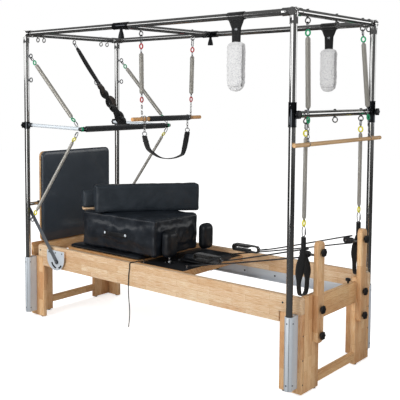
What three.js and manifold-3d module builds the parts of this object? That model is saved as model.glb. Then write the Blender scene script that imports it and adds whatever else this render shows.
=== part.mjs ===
// Pilates trapeze table: a sliding-carriage reformer between four legs, under a frame of chromed tubes.
// Millimetres, Z up. The head end, with the rope pulleys, is at +X; the front long side is at -Y.

import * as THREE from "three";
import { mergeVertices } from "three/addons/utils/BufferGeometryUtils.js";
import Module from "manifold-3d";

const wasm = await Module();
wasm.setup();

// Sides, shares and facets
const front = -1;
const back = 1;
const foot = -1;
const head = 1;
const half_share = 0.5;
const quarter_turn = 90;
const tube_sides = 12;
const rod_sides = 8;
const small_sides = 6;
const ring_sides = 4;
const ring_steps = 6;
const corner_steps = 2;
const weld_share = 0.0001;
const edge_shares = [0, 0.586, 1];
const gap = 0.3;
const running_gap = 0.1;

// Tube frame
const tube_r = 19;
const sleeve_r = 23;
const side_sleeve_r = 22;
const post_x = 1121;
const post_y = 485;
const top_z = 2130;
const sleeve_reach = 68;
const tube_seat = 32;
const screw_r = 4;
const screw_proud = 3;

// Legs and boards
const board_thick = 28;
const leg_out_x = 1165;
const leg_in_x = 1021;
const leg_out_y = 420;
const leg_in_y = 392;
const leg_board_in_y = 228;
const leg_head_top_z = 558;
const leg_foot_h = 6;
const pad_r = 13;
const pad_sink = 4;
const pad_in = 30;

// Rails and tracks
const rail_out_y = 430;
const rail_in_y = 392;
const rail_bottom_z = 400;
const rail_top_z = 558;
const rail_step_z = 462;
const rail_foot_x = 1070;
const rail_round = 18;
const track_web = 5;
const track_top_z = 456;
const track_ledge_z = 393;
const track_ledge_thick = 4;
const track_ledge_w = 26;
const track_foot_x = 1018;
const track_head_x = 1130;
const cross_beam_x = 1065;
const cross_beam_thick = 30;
const cross_beam_bottom_z = 510;
const bolt_r = 7;
const track_bolt_xs = [240, 490, -260, -760];
const track_bolt_z = 425;

// End boards and stretchers
const end_head_bottom_z = 400;
const end_head_top_z = 534;
const end_foot_top_z = 556;
const stretcher_head_zs = [33, 82];
const stretcher_foot_zs = [60, 109];
const stop_knob_y = 150;
const stop_knob_r = 16;
const stop_knob_thick = 18;
const stop_stem_r = 6;
const stop_stem_h = 14;

// Sockets
const socket_r = 25;
const socket_half_w = 20;
const socket_bottom_z = 41;
const socket_top_z = 460;
const socket_screw_zs = [75, 425];

// Knobs and eyes
const star_r = 20;
const star_lobe = 3;
const star_points = 8;
const star_steps = 16;
const star_thick = 14;
const knob_stem_r = 6;
const knob_stem_out = 8;
const eye_r = 15;
const eye_wire = 4;
const eye_stem_r = 5;
const nut_r = 9;
const nut_h = 5;
const eye_drop = 20;
const eye_end_y = 336;
const head_eye_ys = [-eye_end_y, 0, eye_end_y, 419];
const foot_eye_ys = [-372, -313, 0, 297, 367];

// Rope risers and pulleys
const riser_y = 268;
const riser_w = 75;
const riser_out_x = 1195;
const riser_bottom_z = 275;
const riser_top_z = 860;
const riser_knob_zs = [797, 470, 320];
const riser_round = 30;
const sheave_x = 1078;
const sheave_z = 775;
const sheave_r = 22;
const sheave_groove = 5;
const sheave_half_w = 7;
const sheave_bore = 4;
const fork_thick = 4;
const fork_half_h = 17;
const fork_front_reach = 14;
const fork_back_reach = 44;
const fork_front_x = sheave_x - fork_front_reach;
const fork_back_x = sheave_x + fork_back_reach;
const fork_stem_r = 7;

// Jump board
const jump_half_w = 360;
const jump_bottom_z = 560;
const jump_top_z = 1250;
const jump_round = 36;
const jump_wood_thick = 18;
const jump_pad_thick = 30;
const jump_tenon_half_w = 150;
const jump_tenon_z = 470;

// Footbar
const spacer_thick = 16;
const plate_thick = 4;
const plate_x0 = 762;
const plate_x1 = 949;
const plate_top_z = 540;
const plate_bottom_z = 391;
const footbar_pivot_x = 838;
const footbar_pivot_z = 458;
const footbar_top_x = 1166;
const footbar_top_z = 852;
const footbar_flat_thick = 6;
const footbar_flat_w = 29;
const footbar_tube_r = 13;
const footbar_foam_r = 19;
const footbar_foam_half = 350;
const footbar_boss_r = 16;
const footbar_boss_out = 8;
const footbar_pin_r = 6;

// Carriage
const deck_foot_x = 838;
const deck_head_x = 255;
const deck_half_w = 338;
const deck_bottom_z = 500;
const deck_top_z = 544;
const deck_round = 10;
const pad_foot_x = 840;
const pad_head_x = 130;
const pad_half_w = 340;
const pad_top_z = 580;
const shoulder_x0 = -10;
const shoulder_x1 = 67;
const shoulder_y0 = 145;
const shoulder_y1 = 260;
const shoulder_z0 = 585;
const shoulder_z1 = 762;
const shoulder_edge = 34;
const shoulder_stem_r = 9;
const shoulder_plate_half = 30;
const shoulder_plate_h = 6;
const headrest_x0 = 74;
const headrest_x1 = 330;
const headrest_half_w = 138;
const headrest_z0 = 562;
const headrest_z1 = 602;
const headrest_hinge_r = 6;
const headrest_hinge_z = 552;
const headrest_ear_h = 18;
const axle_xs = [-700, 0];
const wheel_r = 22;
const wheel_w = 16;
const wheel_y = 376;
const axle_r = 6;
const hanger_y = 300;
const hanger_half_w = 10;
const hanger_half_x = 16;
const hanger_drop = 14;
const spring_bar_x = 250;
const spring_bar_z = 470;
const spring_bar_r = 7;
const spring_bar_half = 160;
const under_spring_ys = [-120, -40, 40, 120];
const under_spring_r = 13;
const under_spring_end_x = 800;
const cleat_x = 215;
const cleat_y = 250;
const cleat_r = 9;
const cleat_h = 22;
const tail_cleat_x = -100;
const tail_cleat_y = 318;

// Padded boxes on the carriage
const box_x0 = -724;
const box_x1 = -16;
const box_y0 = -305;
const box_y1 = 175;
const box_top_z = 841;
const box_edge = 22;
const handle_x0 = -490;
const handle_x1 = -270;
const handle_z = 705;
const handle_half_h = 14;
const handle_out = 16;
const handle_thick = 4;
const handle_stud = 24;
const block_corner_x = -542;
const block_corner_y = -349;
const block_turn = 51.2;
const block_length = 767;
const block_depth = 112;
const block_top_z = 1035;
const block_edge = 26;

const small_corner_x = -722;
const small_corner_y = -297;
const small_length = 262;
const small_depth = 62;
const small_top_z = 978;
const small_base_h = 12;
const small_edge = 14;

// Ropes, hand loops and the rope tail
const rope_r = 3.25;
const rope_sides = 8;
const rope_hook_x = 468;
const rope_hook_y = 218;
const rope_hook_z = 629;
const rope_turn_steps = 6;
const strap_thick = 5;
const strap_w = 26;
const hand_loop_w = 40;
const hand_loop_foot_x = 262;
const hand_loop_z0 = 606;
const hand_loop_z1 = 652;
const tail_points = [
  [-104, -327.6, 556], [-106, -345, 561], [-109, -368, 562], [-112, -392, 562], [-119, -418, 561.8],
  [-123, -431.5, 561], [-124, -434.4, 555], [-126, -434.2, 545], [-128, -434, 519], [-135, -434, 475],
  [-138, -434, 406], [-136.5, -434, 356], [-133, -434, 306], [-126, -434, 239], [-128, -434, 180],
  [-136, -434, 119],
];
const rope_lean = 0.8;
const rope_seat = 1.6;

// Push-through bar with its springs
const push_drop = 675;
const push_z = top_z - push_drop;
const push_bar_x = -550;
const push_bar_drop = 689;
const push_bar_z = top_z - push_bar_drop;
const push_arm_y = 447;
const push_tube_r = 12.5;
const push_foam_r = 21;
const push_foam_half = 425;
const push_eye_y = 488;
const pivot_half_h = 26;
const pivot_pin_r = 7;
const pivot_collar_r = 16;
const pivot_collar_w = 10;
const post_eye_x = -1070;
const post_eye_upper_drop = 165;
const post_eye_mid_drop = 340;
const post_eye_upper_z = top_z - post_eye_upper_drop;
const post_eye_mid_z = top_z - post_eye_mid_drop;
const post_eye_lower_z = 750;

// Trapeze crossbar, bar and sling
const trapeze_x = -154;
const trapeze_sleeve_half = 67;
const trapeze_knob_top_drop = 23;
const trapeze_knob_drop = 80;
const trapeze_knob_top_z = top_z - trapeze_knob_top_drop;
const trapeze_knob_z = top_z - trapeze_knob_drop;
const trapeze_eye_ys = [-291, 270];
const trapeze_low_ys = [-281, 252];
const dowel_drop = 613;
const dowel_z = top_z - dowel_drop;
const dowel_r = 13;
const dowel_y0 = -380;
const dowel_y1 = 364;
const dowel_foam_r = 19;
const dowel_foam_y0 = -200;
const dowel_foam_y1 = 236;
const sling_w = 62;
const sling_thick = 11;
const sling_drops = [
  [-254, 39], [-254, 116], [-239, 164], [-197, 205], [-130, 255], [-59, 289], [41, 299],
  [120, 291], [165, 269], [196, 215], [214, 113], [214, 39],
];
const sling_points = sling_drops.map(([y, drop]) => [y, dowel_z - drop]);
const sling_loop_r = 21;

// Crossbar on the head posts and its loops
const tower_drop = 555;
const tower_z = top_z - tower_drop;
const tower_sleeve_half = 68;
const tower_eye_ys = [-337, 0, 337];
const loop_ys = [-342, 337];
const loop_strap_z = 884;
const loop_neck_z = 805;
const loop_bottom_z = 548;
const loop_half_w = 49;
const loop_strap_w = 26;
const loop_width_shares = [0.42, 0.82, 1, 1, 0.86, 0.58];
const loop_height_shares = [0.84, 0.62, 0.42, 0.24, 0.1, 0.03];

// Roll-down bar
const roll_bar_r = 12;
const roll_bar_drop = 720;
const roll_bar_z = top_z - roll_bar_drop;
const roll_bar_half = 530;
const roll_bar_out = 8;
const roll_bar_x = post_x + tube_r + roll_bar_r + roll_bar_out;
const roll_low_in = 152;
const roll_low_y = roll_bar_half - roll_low_in;
const roll_upper_chain = 62;
const roll_lower_chain = 104;

// Fleece loops
const fleece_xs = [750, 815];
const fleece_half_w = 58;
const fleece_bottom_drop = 430;
const fleece_top_drop = 145;
const fleece_bottom_z = top_z - fleece_bottom_drop;
const fleece_top_z = top_z - fleece_top_drop;
const fleece_thick = 20;
const fleece_half_depth = 31;
const fleece_bevel = 7;
const fleece_strap_w = 62;
const fleece_strap_thick = 4;
const fleece_wrap_half = 56;

// Springs and links
const curl_steps = 8;
const curl_sides = 5;
const curls = 5;
const coil_r = 13;
const coil_wire_r = 2.2;
const cone_len = 14;
const link_wire = 2.6;
const link_half_w = 9;
const link_len = 42;
const ring_half_w = 17;
const ring_len = 36;
const chain_r = 3;
const lap = 2.6;

// Geometry helpers
function block(x0, x1, y0, y1, z0, z1) {
  const shape = new THREE.BoxGeometry(x1 - x0, y1 - y0, z1 - z0);
  shape.translate((x0 + x1) * half_share, (y0 + y1) * half_share, (z0 + z1) * half_share);
  return shape;
}

// The frame of a line: its own Z runs along it, its own Y stays as near the world's Y as it can
function along(from, to) {
  const a = new THREE.Vector3(...from);
  const b = new THREE.Vector3(...to);
  const ahead = b.clone().sub(a).normalize();
  const level = Math.abs(ahead.y) > Math.abs(ahead.x) + Math.abs(ahead.z);
  const guess = level ? new THREE.Vector3(1, 0, 0) : new THREE.Vector3(0, 1, 0);
  const across = guess.clone().cross(ahead).normalize();
  const matrix = new THREE.Matrix4().makeBasis(across, ahead.clone().cross(across), ahead);
  matrix.setPosition(a);
  return { matrix: matrix, length: a.distanceTo(b) };
}

function taper(from, to, r_from, r_to, sides) {
  const line = along(from, to);
  const shape = new THREE.CylinderGeometry(r_to, r_from, line.length, sides);
  shape.rotateX(THREE.MathUtils.degToRad(quarter_turn));
  shape.translate(0, 0, line.length * half_share);
  shape.applyMatrix4(line.matrix);
  return shape;
}

function rod(from, to, radius, sides) {
  return taper(from, to, radius, radius, sides);
}

function solid(geometry) {
  const clean = geometry.clone();
  clean.deleteAttribute("normal");
  clean.deleteAttribute("uv");
  const welded = mergeVertices(clean, weld_share);
  return new wasm.Manifold(new wasm.Mesh({
    numProp: 3,
    vertProperties: new Float32Array(welded.attributes.position.array),
    triVerts: new Uint32Array(welded.index.array),
  }));
}

function surface(body) {
  const mesh = body.getMesh();
  const shape = new THREE.BufferGeometry();
  shape.setAttribute("position", new THREE.BufferAttribute(new Float32Array(mesh.vertProperties), 3));
  shape.setIndex(new THREE.BufferAttribute(new Uint32Array(mesh.triVerts), 1));
  return shape;
}

function fused(shapes) {
  let body = solid(shapes[0]);
  for (const shape of shapes.slice(1)) {
    body = body.add(solid(shape));
  }
  return surface(body);
}

function carved(shape, tools) {
  let body = solid(shape);
  for (const tool of tools) {
    body = body.subtract(solid(tool));
  }
  return surface(body);
}

function outline(points) {
  const shape = new THREE.Shape();
  shape.moveTo(...points[0]);
  for (const point of points.slice(1)) {
    shape.lineTo(...point);
  }
  shape.closePath();
  return shape;
}

function rounded_outline(a0, a1, b0, b1, r) {
  const shape = new THREE.Shape();
  shape.moveTo(a0 + r, b0);
  shape.lineTo(a1 - r, b0);
  shape.absarc(a1 - r, b0 + r, r, -Math.PI * half_share, 0);
  shape.lineTo(a1, b1 - r);
  shape.absarc(a1 - r, b1 - r, r, 0, Math.PI * half_share);
  shape.lineTo(a0 + r, b1);
  shape.absarc(a0 + r, b1 - r, r, Math.PI * half_share, Math.PI);
  shape.lineTo(a0, b0 + r);
  shape.absarc(a0 + r, b0 + r, r, Math.PI, Math.PI + Math.PI * half_share);
  return shape;
}

function plate(shape, thick) {
  return new THREE.ExtrudeGeometry(shape, { depth: thick, bevelEnabled: false, curveSegments: corner_steps });
}

// A plate drawn in X and Z, from y0 to y1
function plate_xz(shape, y0, y1) {
  const solid_plate = plate(shape, y1 - y0);
  solid_plate.rotateX(THREE.MathUtils.degToRad(quarter_turn));
  solid_plate.translate(0, y1, 0);
  return solid_plate;
}

function yz_turn() {
  return new THREE.Matrix4().makeBasis(
    new THREE.Vector3(0, 1, 0), new THREE.Vector3(0, 0, 1), new THREE.Vector3(1, 0, 0));
}

// A plate drawn in Y and Z, from x0 to x1
function plate_yz(shape, x0, x1) {
  const solid_plate = plate(shape, x1 - x0);
  solid_plate.applyMatrix4(yz_turn());
  solid_plate.translate(x0, 0, 0);
  return solid_plate;
}

function ring(centre, axis, radius, wire) {
  const shape = new THREE.TorusGeometry(radius, wire, ring_sides, ring_steps);
  shape.rotateZ(Math.PI / ring_steps);
  const turn = new THREE.Quaternion();
  turn.setFromUnitVectors(new THREE.Vector3(0, 0, 1), new THREE.Vector3(...axis));
  shape.applyQuaternion(turn);
  shape.translate(...centre);
  return shape;
}

// A band along points in a plane, as an outline of the given thickness
function band_outline(points, thick) {
  const left = [];
  const right = [];
  points.forEach((point, i) => {
    const before = points[Math.max(i - 1, 0)];
    const after = points[Math.min(i + 1, points.length - 1)];
    const length = Math.hypot(after[0] - before[0], after[1] - before[1]);
    const na = -(after[1] - before[1]) / length * thick * half_share;
    const nb = (after[0] - before[0]) / length * thick * half_share;
    left.push([point[0] + na, point[1] + nb]);
    right.push([point[0] - na, point[1] - nb]);
  });
  return outline(left.concat(right.reverse()));
}

// A soft block with rounded edges and a crown on its top
function cushion(x0, x1, y0, y1, z0, z1, edge, crown, inner) {
  const halves = [(x1 - x0) * half_share, (y1 - y0) * half_share, (z1 - z0) * half_share];
  const tables = halves.map((h, axis) => {
    const low = edge_shares.map((share) => share * edge - h);
    const middle = [];
    const count = inner[axis];
    for (let i = 1; i <= count; i += 1) {
      middle.push((edge - h) + (h - edge) / half_share * (i / (count + 1)));
    }
    return low.concat(middle, low.map((value) => -value).reverse());
  });
  const steps = tables.map((table) => table.length - 1);
  const shape = new THREE.BoxGeometry(1, 1, 1, ...steps);
  const place = shape.attributes.position;
  for (let i = 0; i < place.count; i += 1) {
    const raw = [place.getX(i), place.getY(i), place.getZ(i)];
    const at = raw.map((value, axis) => tables[axis][Math.round((value + half_share) * steps[axis])]);
    const core = at.map(
      (value, axis) => THREE.MathUtils.clamp(value, edge - halves[axis], halves[axis] - edge));
    const away = new THREE.Vector3(...at.map((value, axis) => value - core[axis])).normalize();
    const out = [core[0] + away.x * edge, core[1] + away.y * edge, core[2] + away.z * edge];
    const flat_x = 1 - (out[0] / halves[0]) ** 2;
    const flat_y = 1 - (out[1] / halves[1]) ** 2;
    if (out[2] > 0) {
      out[2] += crown * (Math.max(flat_x, 0) * Math.max(flat_y, 0) - 1);
    }
    place.setXYZ(i, ...out);
  }
  shape.translate((x0 + x1) * half_share, (y0 + y1) * half_share, (z0 + z1) * half_share);
  return shape;
}

// A tube that winds round an axis, its two ends bent in to the axis as straight hooks
function coil(length, turns) {
  const centres = [new THREE.Vector3(0, 0, -lap), new THREE.Vector3(0, 0, coil_wire_r / half_share)];
  const steps = turns * curl_steps;
  const wound = length - cone_len / half_share;
  for (let i = 0; i <= steps; i += 1) {
    const angle = i / curl_steps * Math.PI / half_share;
    centres.push(new THREE.Vector3(
      coil_r * Math.cos(angle), coil_r * Math.sin(angle), cone_len + wound * i / steps));
  }
  centres.push(new THREE.Vector3(0, 0, length - coil_wire_r / half_share));
  centres.push(new THREE.Vector3(0, 0, length + lap));
  note_self_gap(centres, coil_wire_r, curl_steps * half_share);
  return tube_on(centres, coil_wire_r, curl_sides);
}

// The least gap of a wound or hanging tube to itself, between points more than some steps apart
let least_self_gap = Infinity;

function note_self_gap(centres, radius, steps_apart) {
  for (let i = 0; i < centres.length; i += 1) {
    for (let j = i + steps_apart + 1; j < centres.length; j += 1) {
      least_self_gap = Math.min(least_self_gap, centres[i].distanceTo(centres[j]) - radius / half_share);
    }
  }
}

// One closed tube through a list of points
function tube_on(centres, radius, sides) {
  const places = [];
  const faces = [];
  let side = new THREE.Vector3();
  const last = centres.length - 1;
  centres.forEach((centre, i) => {
    const before = centres[Math.max(i - 1, 0)];
    const after = centres[Math.min(i + 1, last)];
    const ahead = after.clone().sub(before).normalize();
    if (i === 0) {
      const guess = Math.abs(ahead.z) < half_share ? new THREE.Vector3(0, 0, 1) : new THREE.Vector3(0, 1, 0);
      side = guess.sub(ahead.clone().multiplyScalar(guess.dot(ahead))).normalize();
    } else {
      side = side.sub(ahead.clone().multiplyScalar(side.dot(ahead))).normalize();
    }
    const other = ahead.clone().cross(side);
    for (let j = 0; j < sides; j += 1) {
      const angle = j / sides * Math.PI / half_share;
      const spot = centre.clone().addScaledVector(side, radius * Math.cos(angle));
      spot.addScaledVector(other, radius * Math.sin(angle));
      places.push(spot.x, spot.y, spot.z);
    }
  });
  for (let i = 0; i < last; i += 1) {
    for (let j = 0; j < sides; j += 1) {
      const next = (j + 1) % sides;
      const here = i * sides;
      const there = here + sides;
      faces.push(here + j, here + next, there + next, here + j, there + next, there + j);
    }
  }
  for (let j = 1; j < sides - 1; j += 1) {
    const end = last * sides;
    faces.push(0, j + 1, j, end, end + j, end + j + 1);
  }
  const shape = new THREE.BufferGeometry();
  shape.setAttribute("position", new THREE.BufferAttribute(new Float32Array(places), 3));
  shape.setIndex(faces);
  return shape;
}

// Fittings hung one after another along a straight line
function link(length, half_w, turned) {
  const shape = new THREE.TorusGeometry(half_w, link_wire, ring_sides, ring_steps);
  shape.rotateZ(Math.PI / ring_steps);
  const stretch = length * half_share - half_w;
  const place = shape.attributes.position;
  for (let i = 0; i < place.count; i += 1) {
    place.setY(i, place.getY(i) + Math.sign(place.getY(i)) * stretch);
  }
  shape.rotateX(THREE.MathUtils.degToRad(quarter_turn));
  shape.rotateZ(THREE.MathUtils.degToRad(turned ? quarter_turn : 0));
  shape.translate(0, 0, length * half_share);
  return shape;
}

function hung_parts(start, stop, parts, closing) {
  const line = along(start, stop);
  const fixed = parts.concat(closing).reduce((sum, part) => sum + (part.length || 0), 0);
  const shapes = [];
  let at = 0;
  let turned = true;
  for (const part of parts) {
    const length = part.length || line.length - fixed;
    const local = [];
    if (part.kind === "link") {
      local.push(link(length + lap, part.half_w, turned));
      turned = !turned;
    }
    if (part.kind === "rod") {
      local.push(rod([0, 0, 0], [0, 0, length + lap], chain_r, small_sides));
    }
    if (part.kind === "spring") {
      local.push(coil(length, curls));
    }
    if (part.kind === "plain") {
      local.push(rod([0, 0, -lap], [0, 0, length + lap], chain_r, small_sides));
      local.push(rod([0, 0, cone_len], [0, 0, length - cone_len], coil_r, rod_sides));
    }
    for (const shape of local) {
      shape.translate(0, 0, at);
      shape.applyMatrix4(line.matrix);
      shapes.push(shape);
    }
    at += length;
  }
  return shapes;
}

// The radius of a faceted hole in which a faceted shaft can turn
function running_r(radius, sides) {
  return radius / Math.cos(Math.PI / sides) + running_gap;
}

const group = new THREE.Group();

function material(colour, roughness, metalness) {
  return new THREE.MeshStandardMaterial({ color: colour, roughness: roughness, metalness: metalness });
}

const wood = () => material(0xd9ab6c, 0.45, 0);
const chrome = () => material(0xd8dadc, 0.12, 1);
const silver = () => material(0xb9bcc0, 0.35, 0.9);
const black = () => material(0x17181a, 0.5, 0);
const leather = () => material(0x14161b, 0.32, 0);
const foam = () => material(0x1d1d20, 0.85, 0);
const fleece = () => material(0xf1efe9, 0.95, 0);
const webbing = () => material(0x1b1b1e, 0.8, 0);
const rope_cloth = () => material(0x232427, 0.8, 0);
const loop_cloth = () => material(0xb9babc, 0.8, 0);
const spring_steel = () => material(0x9fa3a6, 0.3, 1);

// The drawing's X is measured from halfway between the end posts, the model's from halfway along it all
const centre_x = (riser_out_x + knob_stem_out + star_thick - footbar_top_x - footbar_foam_r) * half_share;

function add(name, shape, colour) {
  shape.translate(-centre_x, 0, 0);
  shape.computeVertexNormals();
  const mesh = new THREE.Mesh(shape, colour);
  mesh.name = name;
  group.add(mesh);
}

const side_names = new Map([[front, "front"], [back, "back"]]);
const end_names = new Map([[foot, "foot"], [head, "head"]]);

function eye_under(x, y, z) {
  const ring_z = z - tube_r - eye_drop;
  return [
    rod([x, y, ring_z + eye_r], [x, y, z + tube_r + nut_h], eye_stem_r, small_sides),
    rod([x, y, z + tube_r - nut_h], [x, y, z + tube_r + nut_h], nut_r, small_sides),
    ring([x, y, ring_z], [0, 1, 0], eye_r, eye_wire),
  ];
}

// The height at which a link's wire hangs on an eye under a tube at z
function eye_hang_z(z) {
  return z - tube_r - eye_drop - eye_r + eye_wire + link_wire + gap + running_gap;
}

function star_shape() {
  const points = [];
  for (let i = 0; i < star_steps; i += 1) {
    const angle = i / star_steps * Math.PI / half_share;
    const reach = star_r - star_lobe * (half_share - half_share * Math.cos(star_points * angle));
    points.push([reach * Math.cos(angle), reach * Math.sin(angle)]);
  }
  return outline(points);
}

// A star knob with its stem, on a surface at x, facing foot or head
function star_knob(x, y, z, way) {
  const inner_x = x + way * knob_stem_out;
  const outer_x = inner_x + way * star_thick;
  const disc = plate_yz(star_shape(), Math.min(inner_x, outer_x), Math.max(inner_x, outer_x));
  disc.translate(0, y, z);
  return [disc, rod([x - way * lap, y, z], [inner_x + way * gap, y, z], knob_stem_r, rod_sides)];
}

// Fixed frame
function add_rail(side) {
  const y_out = side * rail_out_y;
  const y_in = side * rail_in_y;
  const profile = new THREE.Shape();
  profile.moveTo(-leg_in_x + gap, rail_bottom_z);
  profile.lineTo(leg_in_x - gap, rail_bottom_z);
  profile.lineTo(leg_in_x - gap, rail_step_z);
  profile.lineTo(leg_out_x, rail_step_z);
  profile.lineTo(leg_out_x, rail_top_z - rail_round);
  profile.absarc(leg_out_x - rail_round, rail_top_z - rail_round, rail_round, 0, Math.PI * half_share);
  profile.lineTo(-rail_foot_x + rail_round, rail_top_z);
  profile.absarc(-rail_foot_x + rail_round, rail_top_z - rail_round, rail_round, Math.PI * half_share,
    Math.PI);
  profile.lineTo(-rail_foot_x, rail_step_z);
  profile.lineTo(-leg_in_x + gap, rail_step_z);
  const shapes = [plate_xz(profile, Math.min(y_out, y_in), Math.max(y_out, y_in))];
  const web_in = side * (rail_in_y - track_web);
  const web_out = side * (rail_in_y + track_web);
  const ledge_in = side * (rail_in_y - track_ledge_w);
  const ledge_bottom = track_ledge_z - track_ledge_thick;
  shapes.push(block(-track_foot_x, track_head_x, Math.min(web_in, y_in), Math.max(web_in, y_in),
    rail_bottom_z, track_top_z));
  shapes.push(block(-track_foot_x, track_head_x, Math.min(web_in, y_in), Math.max(web_in, y_in),
    ledge_bottom, rail_bottom_z + lap));
  shapes.push(block(-track_foot_x, track_head_x, Math.min(ledge_in, web_in + side * lap),
    Math.max(ledge_in, web_in + side * lap), ledge_bottom, track_ledge_z));
  for (const x of track_bolt_xs) {
    shapes.push(rod([x, web_out, track_bolt_z], [x, web_in - side * lap, track_bolt_z], bolt_r, rod_sides));
  }
  if (side === front) {
    const half = cross_beam_thick * half_share;
    shapes.push(block(-cross_beam_x - half, -cross_beam_x + half, y_in - lap, rail_in_y - gap,
      cross_beam_bottom_z, rail_top_z - gap));
  }
  add("rail_" + side_names.get(side), fused(shapes), wood());
}

function add_leg(end, side) {
  const x_out = end * leg_out_x;
  const x_in = end * leg_in_x;
  const x_board = end * (leg_out_x - board_thick);
  const top = rail_step_z - gap;
  const long_board = block(Math.min(x_in, x_out), Math.max(x_in, x_out),
    Math.min(side * leg_in_y, side * leg_out_y), Math.max(side * leg_in_y, side * leg_out_y), leg_foot_h,
      top);
  const y_deep = side * (leg_in_y + board_thick * half_share);
  const y_end = side * leg_board_in_y;
  const cross_board = block(Math.min(x_board, x_out), Math.max(x_board, x_out),
    Math.min(y_deep, y_end), Math.max(y_deep, y_end), leg_foot_h, top);
  const shapes = [long_board, cross_board];
  if (end === head) {
    const y_clear = side * (leg_in_y - gap);
    shapes.push(block(x_board, x_out, Math.min(y_clear, y_end), Math.max(y_clear, y_end),
      rail_bottom_z, leg_head_top_z));
  }
  const pad_spots = [
    [x_in + end * pad_in, side * (leg_in_y + board_thick * half_share)],
    [end * (leg_out_x - board_thick * half_share), side * (leg_board_in_y + pad_in)],
  ];
  for (const [x, y] of pad_spots) {
    shapes.push(rod([x, y, 0], [x, y, leg_foot_h + pad_sink], pad_r, rod_sides));
  }
  add("leg_" + end_names.get(end) + "_" + side_names.get(side), fused(shapes), wood());
}

function add_end_boards() {
  const inner = leg_out_x - board_thick;
  const half_w = leg_board_in_y - gap;
  const knob_x = (inner + leg_out_x) * half_share;
  const stem_top_z = end_head_top_z + stop_stem_h;
  const stem = rod([knob_x, stop_knob_y, end_head_top_z - pad_sink], [knob_x, stop_knob_y, stem_top_z],
    stop_stem_r, small_sides);
  const knob = rod([knob_x, stop_knob_y, stem_top_z - lap],
    [knob_x, stop_knob_y, stem_top_z + stop_knob_thick], stop_knob_r, rod_sides);
  const head_board = block(inner, leg_out_x, -half_w, half_w, end_head_bottom_z, end_head_top_z);
  add("end_board_head", fused([head_board, stem, knob]), wood());
  add("end_board_foot", block(-leg_out_x, -inner, -leg_out_y, leg_out_y, rail_step_z, end_foot_top_z),
    wood());
  add("stretcher_head", block(inner, leg_out_x, -half_w, half_w, ...stretcher_head_zs), wood());
  add("stretcher_foot", block(-leg_out_x, -inner, -half_w, half_w, ...stretcher_foot_zs), wood());
}

function add_post(end, side) {
  const x = end * post_x;
  const y = side * post_y;
  const face_y = side * (leg_out_y + gap);
  const shapes = [
    rod([x, y, socket_bottom_z], [x, y, top_z - tube_seat], tube_r, tube_sides),
    rod([x, y, socket_bottom_z], [x, y, socket_top_z], socket_r, tube_sides),
    block(x - socket_half_w, x + socket_half_w, Math.min(y, face_y), Math.max(y, face_y),
      socket_bottom_z, socket_top_z),
  ];
  for (const z of socket_screw_zs) {
    shapes.push(rod([x, y, z], [x + head * (socket_r + screw_proud), y, z], screw_r, small_sides));
  }
  if (end === foot) {
    const eye_y = side * post_y;
    for (const z of [post_eye_upper_z, post_eye_mid_z, post_eye_lower_z]) {
      shapes.push(rod([x, eye_y, z], [post_eye_x - eye_r, eye_y, z], eye_stem_r, small_sides));
      shapes.push(ring([post_eye_x, eye_y, z], [0, 1, 0], eye_r, eye_wire));
    }
    shapes.push(rod([x, y, push_z - pivot_half_h], [x, y, push_z + pivot_half_h], sleeve_r, tube_sides));
    shapes.push(rod([x, y, push_z], [x, side * (push_arm_y - pivot_collar_w), push_z], pivot_pin_r,
      rod_sides));
    shapes.push(...star_knob(x - sleeve_r, y, push_z, foot));
  }
  add("post_" + end_names.get(end) + "_" + side_names.get(side), fused(shapes), chrome());
}

function add_end_beam(end) {
  const x = end * post_x;
  const shapes = [rod([x, -post_y, top_z], [x, post_y, top_z], tube_r, tube_sides)];
  const holes = [];
  for (const side of [front, back]) {
    const y = side * post_y;
    shapes.push(rod([x, y + side * sleeve_r, top_z], [x, y - side * sleeve_reach, top_z], sleeve_r,
      tube_sides));
    shapes.push(rod([x, y, top_z + tube_r], [x, y, top_z - sleeve_reach], sleeve_r, tube_sides));
    shapes.push(rod([x + end * tube_r, y, top_z], [x - end * sleeve_reach, y, top_z], sleeve_r, tube_sides));
    shapes.push(rod([x, y, top_z - sleeve_reach * half_share],
      [x + head * (sleeve_r + screw_proud), y, top_z - sleeve_reach * half_share], screw_r, small_sides));
    holes.push(rod([x, y, top_z - tube_seat + gap], [x, y, top_z - sleeve_reach - lap], tube_r + gap,
      tube_sides));
    holes.push(rod([x - end * (tube_seat - gap), y, top_z], [x - end * (sleeve_reach + lap), y, top_z],
      tube_r + gap, tube_sides));
  }
  for (const y of end === head ? head_eye_ys : foot_eye_ys) {
    shapes.push(...eye_under(x, y, top_z));
  }
  add("beam_" + end_names.get(end), carved(fused(shapes), holes), chrome());
}

function add_long_beam(side) {
  const reach = post_x - tube_seat;
  add("beam_" + side_names.get(side),
    rod([-reach, side * post_y, top_z], [reach, side * post_y, top_z], tube_r, tube_sides), chrome());
}

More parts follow.
